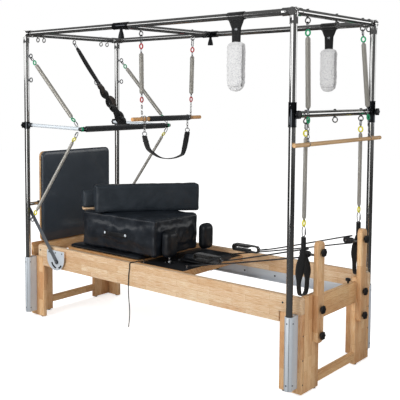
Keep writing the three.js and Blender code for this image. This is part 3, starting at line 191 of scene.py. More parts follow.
class Paint:
    """One node material, built from a few short calls."""

    def __init__(self, name, roughness=0.5, metallic=0.0, coat=0.0, sheen=0.0):
        self.material = bpy.data.materials.new(name)
        self.material.use_nodes = True
        self.tree = self.material.node_tree
        self.shader = self.tree.nodes["Principled BSDF"]
        self.shader.inputs["Roughness"].default_value = roughness
        self.shader.inputs["Metallic"].default_value = metallic
        self.shader.inputs["Coat Weight"].default_value = coat
        self.shader.inputs["Coat Roughness"].default_value = 0.12
        self.shader.inputs["Sheen Weight"].default_value = sheen
        self.place = self.tree.nodes.new("ShaderNodeTexCoord").outputs["Object"]
        self.height = None

    def node(self, kind, **values):
        made = self.tree.nodes.new(kind)
        for key, value in values.items():
            setattr(made, key, value)
        return made

    def feed(self, socket, value):
        if isinstance(value, bpy.types.NodeSocket):
            self.tree.links.new(value, socket)
        else:
            socket.default_value = value

    def maths(self, operation, a, b=0.0):
        made = self.node("ShaderNodeMath", operation=operation)
        self.feed(made.inputs[0], a)
        self.feed(made.inputs[1], b)
        return made.outputs[0]

    def stretched(self, x, y, z, source=None):
        made = self.node("ShaderNodeVectorMath", operation="MULTIPLY")
        self.feed(made.inputs[0], source or self.place)
        made.inputs[1].default_value = (x, y, z)
        return made.outputs[0]

    def swapped(self, along, across):
        """Object coordinates with the grain's axis first and the rows' axes summed second."""
        split = self.node("ShaderNodeSeparateXYZ")
        self.feed(split.inputs[0], self.place)
        join = self.node("ShaderNodeCombineXYZ")
        self.feed(join.inputs[0], split.outputs[along])
        self.feed(join.inputs[1], self.maths("ADD", split.outputs[across[0]], split.outputs[across[1]]))
        return join.outputs[0]

    def noise(self, scale, detail=3.0, rough=0.5, vector=None):
        made = self.node("ShaderNodeTexNoise")
        self.feed(made.inputs["Vector"], vector or self.place)
        made.inputs["Scale"].default_value = scale
        made.inputs["Detail"].default_value = detail
        made.inputs["Roughness"].default_value = rough
        return made.outputs["Fac"]

    def cells(self, scale, vector=None):
        made = self.node("ShaderNodeTexVoronoi")
        self.feed(made.inputs["Vector"], vector or self.place)
        made.inputs["Scale"].default_value = scale
        return made.outputs["Distance"]

    def ramp(self, fac, *stops):
        made = self.node("ShaderNodeValToRGB")
        self.feed(made.inputs[0], fac)
        elements = made.color_ramp.elements
        while len(elements) < len(stops):
            elements.new(0.5)
        for element, (at, shade) in zip(elements, stops):
            element.position = at
            element.color = colour(shade) if isinstance(shade, str) else (shade, shade, shade, 1)
        return made.outputs[0]

    def mix(self, fac, a, b, blend="MIX"):
        made = self.node("ShaderNodeMix", data_type="RGBA", blend_type=blend)
        self.feed(made.inputs[0], fac)
        self.feed(made.inputs[6], a)
        self.feed(made.inputs[7], b)
        return made.outputs[2]

    def bump(self, height, distance, strength=1.0):
        made = self.node("ShaderNodeBump")
        made.inputs["Distance"].default_value = distance
        made.inputs["Strength"].default_value = strength
        self.feed(made.inputs["Height"], height)
        if self.height is not None:
            self.feed(made.inputs["Normal"], self.height)
        self.height = made.outputs[0]
        self.feed(self.shader.inputs["Normal"], self.height)

    def finish(self, base=None, roughness=None):
        if base is not None:
            self.feed(self.shader.inputs["Base Color"], base)
        if roughness is not None:
            self.feed(self.shader.inputs["Roughness"], roughness)
        return self.material


def wood(name, along, across, light="#f2d8b0", dark="#dab286", stave=0.21, row=0.042):
    """Lacquered staves glued edge to edge, each with its own tint, grain and fine joints."""
    paint = Paint(name, 0.38, coat=0.35)
    vector = paint.swapped(along, across)
    bricks = paint.node("ShaderNodeTexBrick", offset=0.37, squash=1.0)
    paint.feed(bricks.inputs["Vector"], vector)
    bricks.inputs["Color1"].default_value = colour(light)
    bricks.inputs["Color2"].default_value = colour(dark)
    bricks.inputs["Mortar"].default_value = colour("#b98d5e")
    bricks.inputs["Scale"].default_value = 1
    bricks.inputs["Mortar Size"].default_value = 0.0005
    bricks.inputs["Brick Width"].default_value = stave
    bricks.inputs["Row Height"].default_value = row
    streaks = paint.noise(9, 6, 0.62, paint.stretched(1.6, 42, 1, vector))
    fine = paint.noise(60, 4, 0.6, paint.stretched(1, 26, 1, vector))
    cloudy = paint.noise(3.5, 3, 0.5, paint.stretched(1, 3, 1, vector))
    grain = paint.mix(0.85, bricks.outputs["Color"],
                      paint.ramp(streaks, (0.32, "#cfa078"), (0.46, "#efd9be"), (0.6, "#ffffff")), "MULTIPLY")
    grain = paint.mix(0.25, grain, paint.ramp(fine, (0.35, "#a87d52"), (0.6, "#ffffff")), "MULTIPLY")
    base = paint.mix(0.3, grain, paint.ramp(cloudy, (0.35, "#e8c4a4"), (0.65, "#fffaf2")), "MULTIPLY")
    paint.bump(paint.maths("SUBTRACT", fine, bricks.outputs["Fac"]), 0.00012, 0.5)
    return paint.finish(base, paint.ramp(streaks, (0.3, 0.46), (0.7, 0.32)))


def metal(name, base, roughness, worn=0.05, speckle=60, grain=(1, 1, 1), share=1.0):
    paint = Paint(name, roughness, share)
    haze = paint.noise(speckle, 4, 0.6, paint.stretched(*grain))
    fine = paint.noise(900, 2, 0.5)
    shade = paint.mix(0.12, colour(base), paint.ramp(haze, (0.3, 0.55), (0.7, 1.0)), "MULTIPLY")
    paint.bump(fine, 0.00002, 0.35)
    return paint.finish(shade, paint.ramp(haze, (0.3, roughness), (0.75, roughness + worn)))


def plastic(name, base, roughness, grain=700, lighter="#5a5d62"):
    paint = Paint(name, roughness)
    blotch = paint.noise(25, 4, 0.6)
    pits = paint.noise(grain, 3, 0.6)
    shade = paint.mix(paint.ramp(blotch, (0.45, 0.02), (0.8, 0.12)), colour(base), colour(lighter))
    paint.bump(pits, 0.0001, 0.5)
    return paint.finish(shade, paint.ramp(blotch, (0.3, roughness), (0.7, roughness + 0.1)))


def leather(name, base, roughness=0.34, coat=0.25, crease=1.0):
    """Coated leatherette: pebbled cells, soft creases and rubbed, lighter places."""
    paint = Paint(name, roughness, coat=coat)
    pebbles = paint.cells(620)
    creases = paint.noise(38, 5, 0.62)
    rubbed = paint.noise(7, 4, 0.6)
    shade = paint.mix(paint.ramp(rubbed, (0.4, 0.0), (0.85, 0.28)), colour(base), colour("#4a525c"))
    shade = paint.mix(paint.ramp(pebbles, (0.0, 0.22), (0.5, 0.0)), shade, colour("#08090b"))
    paint.bump(creases, 0.0012 * crease, 0.35)
    paint.bump(pebbles, 0.00022, 0.5)
    return paint.finish(shade, paint.ramp(rubbed, (0.35, roughness), (0.8, roughness + 0.1)))


def foam(name, base):
    paint = Paint(name, 0.82, sheen=0.15)
    cells = paint.cells(900)
    patches = paint.noise(30, 4, 0.6)
    shade = paint.mix(paint.ramp(patches, (0.35, 0.0), (0.75, 0.3)), colour(base), colour("#33373c"))
    paint.bump(cells, 0.0003, 0.8)
    paint.bump(patches, 0.0008, 0.3)
    return paint.finish(shade)


def woven(name, base, thread, pitch=0.0011, roughness=0.72):
    """Flat webbing: threads cross at a fine pitch along and across the strap's own lay."""
    paint = Paint(name, roughness, sheen=0.2)
    lay = paint.node("ShaderNodeAttribute", attribute_name="lay").outputs["Vector"]
    split = paint.node("ShaderNodeSeparateXYZ")
    paint.feed(split.inputs[0], lay)
    turn = math.pi / pitch
    ribs = paint.maths("SINE", paint.maths("MULTIPLY", split.outputs[0], turn))
    cords = paint.maths("SINE", paint.maths("MULTIPLY", split.outputs[1], turn))
    weave = paint.maths("ADD", paint.maths("MULTIPLY", ribs, cords), 1.0)
    soiled = paint.noise(45, 4, 0.6)
    shade = paint.mix(paint.ramp(weave, (0.2, 0.0), (1.0, 0.5)), colour(base), colour(thread))
    shade = paint.mix(0.35, shade, paint.ramp(soiled, (0.3, "#8d8d8d"), (0.7, "#ffffff")), "MULTIPLY")
    paint.bump(weave, 0.00035, 0.8)
    return paint.finish(shade)


def braid(name, base, thread):
    """A round rope: strands cross on both slants round the rope's own lay."""
    paint = Paint(name, 0.75, sheen=0.25)
    lay = paint.node("ShaderNodeAttribute", attribute_name="lay").outputs["Vector"]
    split = paint.node("ShaderNodeSeparateXYZ")
    paint.feed(split.inputs[0], lay)
    along = paint.maths("MULTIPLY", split.outputs[0], 1100.0)
    round_it = paint.maths("MULTIPLY", split.outputs[1], 4.0)
    one = paint.maths("SINE", paint.maths("ADD", along, round_it))
    other = paint.maths("SINE", paint.maths("SUBTRACT", along, round_it))
    strands = paint.maths("MAXIMUM", one, other)
    shade = paint.mix(paint.ramp(strands, (0.1, 0.0), (0.95, 0.7)), colour(base), colour(thread))
    paint.bump(strands, 0.0006, 0.9)
    return paint.finish(shade)


def fleece(name):
    paint = Paint(name, 0.95, sheen=0.5)
    tufts = paint.cells(170)
    fluff = paint.noise(420, 5, 0.7)
    shade = paint.ramp(tufts, (0.0, "#e2e2e0"), (0.5, "#d2d2d2"), (0.9, "#b4b4b8"))
    paint.bump(tufts, 0.003, 0.6)
    paint.bump(fluff, 0.0014, 0.9)
    return paint.finish(shade)


def turned_wood(name, light, dark, axis):
    paint = Paint(name, 0.42, coat=0.3)
    grow = [40, 40, 40]
    grow[axis] = 3
    figure = paint.noise(1.0, 5, 0.65, paint.stretched(*grow))
    fine = paint.noise(6.0, 4, 0.6, paint.stretched(*grow))
    shade = paint.ramp(figure, (0.3, dark), (0.5, light), (0.7, dark))
    shade = paint.mix(0.3, shade, paint.ramp(fine, (0.3, "#b98f62"), (0.6, "#ffffff")), "MULTIPLY")
    paint.bump(fine, 0.0001, 0.4)
    return paint.finish(shade)


paints = {
    "wood_x": wood("rail_staves", 0, (1, 2), "#efe1c8", "#dfc5a3", 0.26),
    "wood_z": wood("upright_staves", 2, (0, 1)),
    "wood_y": wood("cross_staves", 1, (0, 2), "#ecd0a4", "#dcb789"),
    "deck_ply": wood("deck_edge", 0, (1, 2), "#e3c595", "#cfa878", 0.9, 0.0035),
    "bar_wood": turned_wood("turned_bar", "#d3ae80", "#c39a6b", 1),
    "dowel_wood": turned_wood("turned_dowel", "#dba96f", "#b57c45", 1),
    "chrome": metal("chrome_plate", "#dcdcdb", 0.08),
    "steel": metal("plated_steel", "#b9bcc0", 0.22, 0.1),
    "spring": metal("spring_wire", "#e9e6de", 0.38, 0.06, 12, (1, 1, 1), 0.72),
    "dark_steel": metal("dark_steel", "#4a4d52", 0.3, 0.12),
    "gloss_black": metal("dark_chrome", "#55585c", 0.1),
    "silver": metal("satin_alloy", "#cfd6dd", 0.34, 0.1, 14, (1, 1, 60), 0.25),
    "pale_tube": metal("pale_tube", "#dfe7ee", 0.2, 0.1, 14, (60, 1, 60), 0.15),
    "arm_steel": metal("arm_steel", "#74787d", 0.3, 0.1, 40, (1, 1, 1), 0.5),
    "track": metal("track_alloy", "#cdd3da", 0.36, 0.1, 14, (1, 60, 60), 0.3),
    "black": plastic("black_plastic", "#121316", 0.42),
    "rubber": plastic("rubber_pad", "#17181a", 0.75, 400),
    "box_leather": leather("box_leatherette", "#141920"),
    "block_leather": leather("block_leatherette", "#272e35", 0.4, 0.15),
    "pad_leather": leather("pad_leatherette", "#0b0d11", 0.36, 0.2),
    "gloss_leather": leather("board_leatherette", "#3d444c", 0.16, 0.9, 0.4),
    "foam": foam("grip_foam", "#1b1e22"),
    "fleece": fleece("white_fleece"),
    "webbing": woven("black_webbing", "#060607", "#1a1b1d"),
    "brown_webbing": woven("dark_brown_webbing", "#1c1714", "#4a3f38"),
    "rope": braid("black_braid", "#0b0c0d", "#26282b"),
    "green": plastic("green_ring", "#159a66", 0.35, 500, "#4fc79a"),
    "yellow": plastic("yellow_ring", "#d9cf2a", 0.35, 500, "#f3ee7a"),
    "red": plastic("red_ring", "#b8242a", 0.35, 500, "#e0656a"),
}


# Mesh parts: points, faces, a lay (length along, place across) and the material's name
def part(paint, points, faces, lay=None, smooth=True):
    points = np.asarray(points, float).reshape(-1, 3)
    lay = np.zeros((len(points), 3)) if lay is None else np.asarray(lay, float).reshape(-1, 3)
    return {"paint": paint, "points": points, "faces": faces, "lay": lay, "smooth": smooth}


def piece(name, body, parts, replaced=(), sharp=35):
    """Joins parts into one object that rides on a body, with a slot for each material used."""
    names = list(dict.fromkeys(p["paint"] for p in parts))
    points, faces, slots, smooth, start = [], [], [], [], 0
    for p in parts:
        points.append(p["points"])
        faces += [tuple(start + i for i in face) for face in p["faces"]]
        slots += [names.index(p["paint"])] * len(p["faces"])
        smooth += [p["smooth"]] * len(p["faces"])
        start += len(p["points"])
    mesh = bpy.data.meshes.new(name)
    mesh.from_pydata(np.concatenate(points) - (centre_x, 0, 0), [], faces)
    mesh.polygons.foreach_set("material_index", slots)
    mesh.polygons.foreach_set("use_smooth", smooth)
    lay = mesh.attributes.new("lay", "FLOAT_VECTOR", "POINT")
    lay.data.foreach_set("vector", np.concatenate([p["lay"] for p in parts]).ravel())
    for paint in names:
        mesh.materials.append(paints[paint])
    mesh.update()
    mesh.set_sharp_from_angle(angle=math.radians(sharp))
    obj = bpy.data.objects.new(name, mesh)
    bpy.context.scene.collection.objects.link(obj)
    if body:
        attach(obj, body)
    if replaced:
        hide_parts(*replaced)
    return obj


def unit(vector):
    vector = np.asarray(vector, float)
    return vector / np.linalg.norm(vector)


def any_side(direction):
    guess = np.array([0.0, 0, 1]) if abs(direction[2]) < 0.8 else np.array([0.0, 1, 0])
    return unit(guess - direction * guess.dot(direction))


def smooth_path(points, steps=6, closed=False):
    """A curve through the points, with even steps between each two."""
    pts = np.asarray(points, float)
    n = len(pts)
    count = n if closed else n - 1
    out = []
    for i in range(count):
        p0, p1, p2, p3 = (pts[(i + k) % n] if closed else pts[min(max(i + k, 0), n - 1)]
                          for k in (-1, 0, 1, 2))
        for j in range(steps):
            t = j / steps
            out.append(0.5 * (2 * p1 + (p2 - p0) * t + (2 * p0 - 5 * p1 + 4 * p2 - p3) * t ** 2
                              + (3 * p1 - p0 - 3 * p2 + p3) * t ** 3))
    if not closed:
        out.append(pts[-1])
    return np.array(out)


def tangents(pts, closed):
    if closed:
        ahead = np.roll(pts, -1, 0) - np.roll(pts, 1, 0)
    else:
        ahead = np.gradient(pts, axis=0)
    return ahead / np.linalg.norm(ahead, axis=1)[:, None]


def lengths(pts):
    return np.concatenate([[0], np.cumsum(np.linalg.norm(np.diff(pts, axis=0), axis=1))])


def strip_faces(rows, columns, closed, capped):
    faces = []
    for i in range(rows if closed else rows - 1):
        for j in range(columns):
            a, b = i * columns + j, i * columns + (j + 1) % columns
            c, d = ((i + 1) % rows) * columns + (j + 1) % columns, ((i + 1) % rows) * columns + j
            faces.append((a, b, c, d))
    if capped and not closed:
        faces.append(tuple(range(columns - 1, -1, -1)))
        faces.append(tuple((rows - 1) * columns + j for j in range(columns)))
    return faces


def tube(paint, points, radius, sides=12, closed=False):
    pts = np.asarray(points, float)
    ahead = tangents(pts, closed)
    radii = np.broadcast_to(np.asarray(radius, float), len(pts))
    side = any_side(ahead[0])
    rows = []
    angles = np.arange(sides) / sides * math.tau
    for centre, direction, reach in zip(pts, ahead, radii):
        side = unit(side - direction * side.dot(direction))
        other = np.cross(direction, side)
        rows.append(centre + reach * (np.cos(angles)[:, None] * side + np.sin(angles)[:, None] * other))
    run = lengths(pts)
    lay = np.stack([np.repeat(run, sides), np.tile(angles, len(pts)), np.zeros(len(pts) * sides)], 1)
    return part(paint, rows, strip_faces(len(pts), sides, closed, True), lay)


def pipe(paint, a, b, radius, sides=28, chamfer=0.0012):
    """A straight round bar with its two rims broken."""
    a, b = np.asarray(a, float), np.asarray(b, float)
    ahead = unit(b - a) * chamfer
    return tube(paint, [a, a + ahead, b - ahead, b], [radius - chamfer, radius, radius, radius - chamfer],
                sides)


def turned(paint, origin, axis, profile, sides=28):
    """A round part from (distance along the axis, radius) pairs."""
    origin, axis = np.asarray(origin, float), unit(axis)
    side = any_side(axis)
    other = np.cross(axis, side)
    angles = np.arange(sides) / sides * math.tau
    around = np.cos(angles)[:, None] * side + np.sin(angles)[:, None] * other
    rows = [origin + axis * along + around * max(radius, 0.00005) for along, radius in profile]
    return part(paint, rows, strip_faces(len(profile), sides, False, True))


def ribbon(paint, points, width_way, width, thick, closed=False, soft=0.35):
    """A flat strap along points; width_way is the direction of its width."""
    pts = np.asarray(points, float)
    ahead = tangents(pts, closed)
    ways = np.broadcast_to(np.asarray(width_way, float), pts.shape)
    widths = np.broadcast_to(np.asarray(width, float), len(pts))
    half_t = thick / 2
    corner = min(soft * thick, half_t)
    shape = [(-1, -half_t + corner), (-1, half_t - corner), (-1, half_t), (-0.5, half_t), (0, half_t),
             (0.5, half_t), (1, half_t), (1, half_t - corner), (1, -half_t + corner), (1, -half_t),
             (0.5, -half_t), (0, -half_t), (-0.5, -half_t), (-1, -half_t)]
    inset = [0, 0, corner, 0, 0, 0, corner, 0, 0, corner, 0, 0, 0, corner]
    rows, lay = [], []
    for centre, direction, way, w, run in zip(pts, ahead, ways, widths, lengths(pts)):
        way = unit(way - direction * way.dot(direction))
        up = np.cross(direction, way)
        for (u, v), back_off in zip(shape, inset):
            across = u * (w / 2 - (back_off if abs(u) == 1 else 0))
            rows.append(centre + way * across + up * v)
            lay.append((run, across, 0))
    return part(paint, rows, strip_faces(len(pts), len(shape), closed, True), lay)


def slab(paint, outline, axis, low, high, bevel=0.0015, segments=2):
    """An outline in the other two axes, made thick along one axis, with its rims rounded."""
    low, high = sorted((low, high))
    bm = bmesh.new()
    others = [i for i in range(3) if i != axis]
    verts = []
    for a, b in outline:
        place = [0.0, 0.0, 0.0]
        place[axis], place[others[0]], place[others[1]] = low, a, b
        verts.append(bm.verts.new(place))
    face = bm.faces.new(verts)
    top = bmesh.ops.extrude_face_region(bm, geom=[face])
    moved = [g for g in top["geom"] if isinstance(g, bmesh.types.BMVert)]
    shift = [0.0, 0.0, 0.0]
    shift[axis] = high - low
    bmesh.ops.translate(bm, verts=moved, vec=shift)
    bmesh.ops.recalc_face_normals(bm, faces=bm.faces)
    rims = [e for e in bm.edges if abs(e.verts[0].co[axis] - e.verts[1].co[axis]) < 1e-7]
    sharp = [e for e in bm.edges if e not in rims and e.calc_face_angle(0) > 0.7]
    bmesh.ops.bevel(bm, geom=rims + sharp, offset=bevel, segments=segments, affect="EDGES", profile=0.5)
    bm.verts.index_update()
    points = [tuple(v.co) for v in bm.verts]
    faces = [tuple(v.index for v in f.verts) for f in bm.faces]
    bm.free()
    return part(paint, points, faces)


def box(paint, x0, x1, y0, y1, z0, z1, bevel=0.0015):
    x0, x1 = sorted((x0, x1))
    y0, y1 = sorted((y0, y1))
    return slab(paint, [(x0, y0), (x1, y0), (x1, y1), (x0, y1)], 2, z0, z1, bevel)


def rounded(a0, a1, b0, b1, r, steps=6):
    points = []
    for ca, cb, start in ((a1 - r, b0 + r, -90), (a1 - r, b1 - r, 0), (a0 + r, b1 - r, 90),
                          (a0 + r, b0 + r, 180)):
        for i in range(steps + 1):
            angle = math.radians(start + 90 * i / steps)
            points.append((ca + r * math.cos(angle), cb + r * math.sin(angle)))
    return points


def lattice(counts):
    """The outer shell of a block of grid points, and its quads."""
    index, spots, faces = {}, [], []

    def at(*ijk):
        if ijk not in index:
            index[ijk] = len(spots)
            spots.append(ijk)
        return index[ijk]

    for axis in range(3):
        u, v = (axis + 1) % 3, (axis + 2) % 3
        for level in (0, counts[axis]):
            for i in range(counts[u]):
                for j in range(counts[v]):
                    corners = []
                    for di, dj in ((0, 0), (1, 0), (1, 1), (0, 1)):
                        ijk = [0, 0, 0]
                        ijk[axis], ijk[u], ijk[v] = level, i + di, j + dj
                        corners.append(at(*ijk))
                    faces.append(tuple(corners if level else corners[::-1]))
    return np.array(spots), faces


def pad(paint, low, high, edge, step=0.02, bulge=0.004, pull=0.0, wave=0.0, seed=0.0, turn_r=0.0, flat=2):
    """A stuffed block: rounded edges, swollen faces, sides that draw in and soft waves.

    Its corners round the flat axis are cut to turn_r.
    """
    low, high = np.asarray(low, float), np.asarray(high, float)
    half = (high - low) / 2
    edge = min(edge, half.min())
    tables = []
    for h in half:
        corner = edge * (1 - np.cos(np.linspace(0, math.pi / 2, 5)))[:4] - h
        inner = np.linspace(edge - h, h - edge, max(2, int(round((h - edge) * 2 / step)) + 1))
        table = np.concatenate([corner, inner, -corner[::-1]])
        tables.append(table[np.concatenate([[True], np.diff(table) > 1e-6])])
    spots, faces = lattice([len(t) - 1 for t in tables])
    raw = np.stack([tables[a][spots[:, a]] for a in range(3)], 1)
    core = np.clip(raw, edge - half, half - edge)
    away = raw - core
    reach = np.linalg.norm(away, axis=1)[:, None]
    normal = away / np.maximum(reach, 1e-9)
    out = core + normal * edge
    share = 1 - (out / half) ** 2
    for axis in range(3):
        u, v = (axis + 1) % 3, (axis + 2) % 3
        swell = np.clip(share[:, u], 0, 1) * np.clip(share[:, v], 0, 1)
        out[:, axis] += bulge * swell ** 0.5 * normal[:, axis]
    if pull:
        for axis in range(2):
            side = np.clip(share[:, 1 - axis], 0, 1)
            out[:, axis] -= pull * side * normal[:, axis]
    if turn_r:
        a, b = (axis for axis in range(3) if axis != flat)
        over = np.stack([np.abs(out[:, a]) - (half[a] - turn_r), np.abs(out[:, b]) - (half[b] - turn_r)], 1)
        turn = (over > 0).all(1)
        shrink = over[turn].max(1) / np.linalg.norm(over[turn], axis=1)
        for column, axis in enumerate((a, b)):
            out[turn, axis] = np.sign(out[turn, axis]) * (half[axis] - turn_r + over[turn, column] * shrink)
    if wave:
        centre = (low + high) / 2
        for k, (spot, way) in enumerate(zip(out, normal)):
            sample = Vector(spot + centre) * 22 + Vector((seed, seed, seed))
            rim = 1 - min(1.0, min(abs(abs(spot[a]) - half[a]) for a in range(2)) / 0.09)
            out[k] = spot + way * wave * (0.35 + rim) * noise.noise(sample)
    return part(paint, out + (low + high) / 2, faces)


def stuffed(body, voxel, cap, shrink=0.004, spare=0.003, calm=3):
    """Blows a pad up with cloth from a slightly smaller shape.

    It keeps its height, so it stays flat where it rests and where something rests on it.
    """
    room = bpy.data.scenes.new("stuffing")
    low, high = body["points"].min(0), body["points"].max(0)
    middle = (low + high) / 2
    start = middle + (body["points"] - middle) * (1 - 2 * shrink / (high - low))
    mesh = bpy.data.meshes.new("stuffing")
    mesh.from_pydata(start, [], body["faces"])
    obj = bpy.data.objects.new("stuffing", mesh)
    room.collection.objects.link(obj)
    remesh = obj.modifiers.new("even", "REMESH")
    remesh.mode = "VOXEL"
    remesh.voxel_size = voxel
    room.frame_set(1)
    layer = room.view_layers[0]
    even = bpy.data.meshes.new_from_object(obj.evaluated_get(layer.depsgraph))
    obj.modifiers.clear()
    obj.data = even
    rest = np.empty(len(even.vertices) * 3)
    even.vertices.foreach_get("co", rest)
    rest = rest.reshape(-1, 3)
    cloth = obj.modifiers.new("cloth", "CLOTH")
    cloth.settings.use_pressure = True
    cloth.settings.uniform_pressure_force = 4
    cloth.settings.tension_stiffness = 12
    cloth.settings.compression_stiffness = 12
    cloth.settings.bending_stiffness = 1.5
    cloth.settings.effector_weights.gravity = 0
    cloth.collision_settings.use_collision = False
    cloth.point_cache.frame_start = 1
    cloth.point_cache.frame_end = 20
    for number in range(1, 21):
        room.frame_set(number)
    blown = obj.evaluated_get(layer.depsgraph).data
    spots = np.empty(len(blown.vertices) * 3)
    blown.vertices.foreach_get("co", spots)
    moved = spots.reshape(-1, 3) - rest
    pairs = np.array([edge.vertices for edge in even.edges])
    count = np.bincount(pairs.ravel(), minlength=len(rest))[:, None]
    for _ in range(calm):
        total = np.zeros_like(moved)
        np.add.at(total, pairs[:, 0], moved[pairs[:, 1]])
        np.add.at(total, pairs[:, 1], moved[pairs[:, 0]])
        moved = (moved + total) / (count + 1)
    reach = np.linalg.norm(moved, axis=1)[:, None]
    moved *= np.minimum(1, cap / np.maximum(reach, 1e-9))
    obj.modifiers.clear()
    even.vertices.foreach_set("co", (rest + moved).ravel())
    even.update()
    finer = obj.modifiers.new("finer", "SUBSURF")
    finer.levels = 1
    room.frame_set(1)
    smooth = obj.evaluated_get(layer.depsgraph).data
    spots = np.empty(len(smooth.vertices) * 3)
    smooth.vertices.foreach_get("co", spots)
    faces = [tuple(face.vertices) for face in smooth.polygons]
    spots = spots.reshape(-1, 3)
    tall = (high[2] - low[2] + 0.002) / np.ptp(spots[:, 2])
    spots[:, 2] = middle[2] + (spots[:, 2] - (spots[:, 2].max() + spots[:, 2].min()) / 2) * tall
    spots = np.clip(spots, low - (spare, spare, 0), high + (spare, spare, 0))
    bpy.data.objects.remove(obj)
    bpy.data.scenes.remove(room)
    return part(body["paint"], spots, faces)


def sewn(body, points, thick=0.0014, closed=False):
    """A raised seam laid along points on a pad's own surface, in the pad's leather."""
    tree = BVHTree.FromPolygons([tuple(p) for p in body["points"]], body["faces"])
    laid = []
    for spot in points:
        at, way, _, _ = tree.find_nearest(Vector(spot))
        laid.append(np.array(at) + np.array(way) * thick * 0.15)
    for _ in range(2):
        if closed:
            laid = [(laid[k - 1] + 2 * laid[k] + laid[(k + 1) % len(laid)]) / 4 for k in range(len(laid))]
        else:
            laid = laid[:1] + [(laid[k - 1] + 2 * laid[k] + laid[k + 1]) / 4
                               for k in range(1, len(laid) - 1)] + laid[-1:]
    return tube(body["paint"], laid, thick, 6, closed=closed)


def seam_loop(body, z, r=0.020, thick=0.0016):
    """A seam all round a pad at one height."""
    low, high = body["points"].min(0), body["points"].max(0)
    outline = []
    corners = rounded(low[0], high[0], low[1], high[1], r, 8)
    for k, (a, b) in enumerate(corners):
        c, d = corners[(k + 1) % len(corners)]
        steps = max(1, int(math.hypot(c - a, d - b) / 0.015))
        outline += [(a + (c - a) * s / steps, b + (d - b) * s / steps, z) for s in range(steps)]
    return sewn(body, outline, thick, closed=True)


def turned_about(parts, corner, degrees):
    """Parts drawn from the origin, turned about Z and moved to the corner."""
    c, s = math.cos(math.radians(degrees)), math.sin(math.radians(degrees))
    spin = np.array([[c, s, 0], [-s, c, 0], [0, 0, 1]])
    for p in parts:
        p["points"] = p["points"] @ spin + (corner[0], corner[1], 0)
    return parts


# Hooks, rings, chains and springs along a straight line
def oval(paint, centre, ahead, across, length, half_w, wire, narrow=0.0, sides=8, steps=28):
    angles = np.arange(steps) / steps * math.tau
    run = length / 2 - wire
    wide = (half_w - wire) * (1 - narrow * np.cos(angles))
    points = centre + np.outer(np.cos(angles) * run, ahead) + np.outer(np.sin(angles) * wide, across)
    return tube(paint, points, wire, sides, closed=True)


def upright_ring(paint, x, y, z, length, half_w, wire, sides=8, steps=28):
    """A ring that stands in the plane of X and Z."""
    return oval(paint, np.array([x, y, z]), np.array([0, 0, 1.0]), np.array([1.0, 0, 0]), length, half_w,
                wire, sides=sides, steps=steps)


def carabiner(centre, ahead, across, length, half_w=0.013, wire=0.0026, paint="steel"):
    """A pear-shaped snap with a gate sleeve on one side and a nose."""
    gate = centre + across * (half_w - wire) * 0.92
    run = ahead * length * 0.2
    nose = [(0, wire * 1.2), (0.001, wire * 1.7), (0.003, wire * 1.2)]
    return [
        oval(paint, centre, ahead, across, length, half_w, wire, 0.22),
        pipe(paint, gate - run, gate + run, wire * 1.5, 12, 0.0006),
        turned("dark_steel", gate + run, ahead, nose, 12),
    ]


def coil(start, stop, radius=coil_r, wire=wire_r, pitch=coil_pitch, cone=0.014):
    start, stop = np.asarray(start, float), np.asarray(stop, float)
    length = np.linalg.norm(stop - start)
    ahead = unit(stop - start)
    side = any_side(ahead)
    other = np.cross(ahead, side)
    turns = max(4, int(length / pitch))
    t = np.linspace(0, 1, turns * 12 + 1)
    taper = np.minimum(1, np.minimum(t, 1 - t) * length / cone)
    reach = radius * (0.35 + 0.65 * np.sin(taper * math.pi / 2))
    angle = t * turns * math.tau
    points = start + np.outer(t * length, ahead)
    points += (np.cos(angle) * reach)[:, None] * side + (np.sin(angle) * reach)[:, None] * other
    return tube("spring", points, wire, 6)


def hung(start, stop, items, spring_r=coil_r):
    """Parts between two points; an item is (kind, length, paint), and the spring takes what is left."""
    start, stop = np.asarray(start, float), np.asarray(stop, float)
    ahead = unit(stop - start)
    level = unit(np.cross(ahead, (0, 1, 0))) if abs(ahead[1]) < 0.7 else unit(np.cross(ahead, (1, 0, 0)))
    other = np.cross(ahead, level)
    spare = np.linalg.norm(stop - start) - sum(length for _, length, _ in items if length)
    plug = [(-0.004, 0.002), (-0.003, 0.0045), (0.004, 0.006), (0.014, spring_r * 0.7), (0.016, 0.0)]
    parts, at, flip = [], 0.0, False
    for kind, length, paint in items:
        length = length or spare
        across = level if flip else other
        middle = start + ahead * (at + length / 2)
        a, b = start + ahead * at, start + ahead * (at + length)
        if kind == "snap":
            parts += carabiner(middle, ahead, across, length + 0.006, paint=paint)
            flip = not flip
        if kind == "ring":
            parts.append(oval(paint, middle, ahead, across, length + 0.005, 0.0182, 0.0046, 0.0, 10))
            parts.append(pipe("steel", a - ahead * 0.002, a + ahead * 0.007, 0.003, 10, 0.0005))
            flip = not flip
        if kind == "spring":
            parts.append(coil(a + ahead * 0.004, b - ahead * 0.004, spring_r))
            for end, way in ((a, 1), (b, -1)):
                parts.append(turned("steel", end, ahead * way, plug, 16))
        if kind == "chain":
            count = max(1, round(length / 0.019))
            for k in range(count):
                spot = a + ahead * length * (k + 0.5) / count
                way = level if k % 2 else other
                parts.append(oval(paint, spot, ahead, way, length / count + 0.0080, 0.0082, 0.0023, 0.0, 6,
                                  20))
        at += length
    return parts


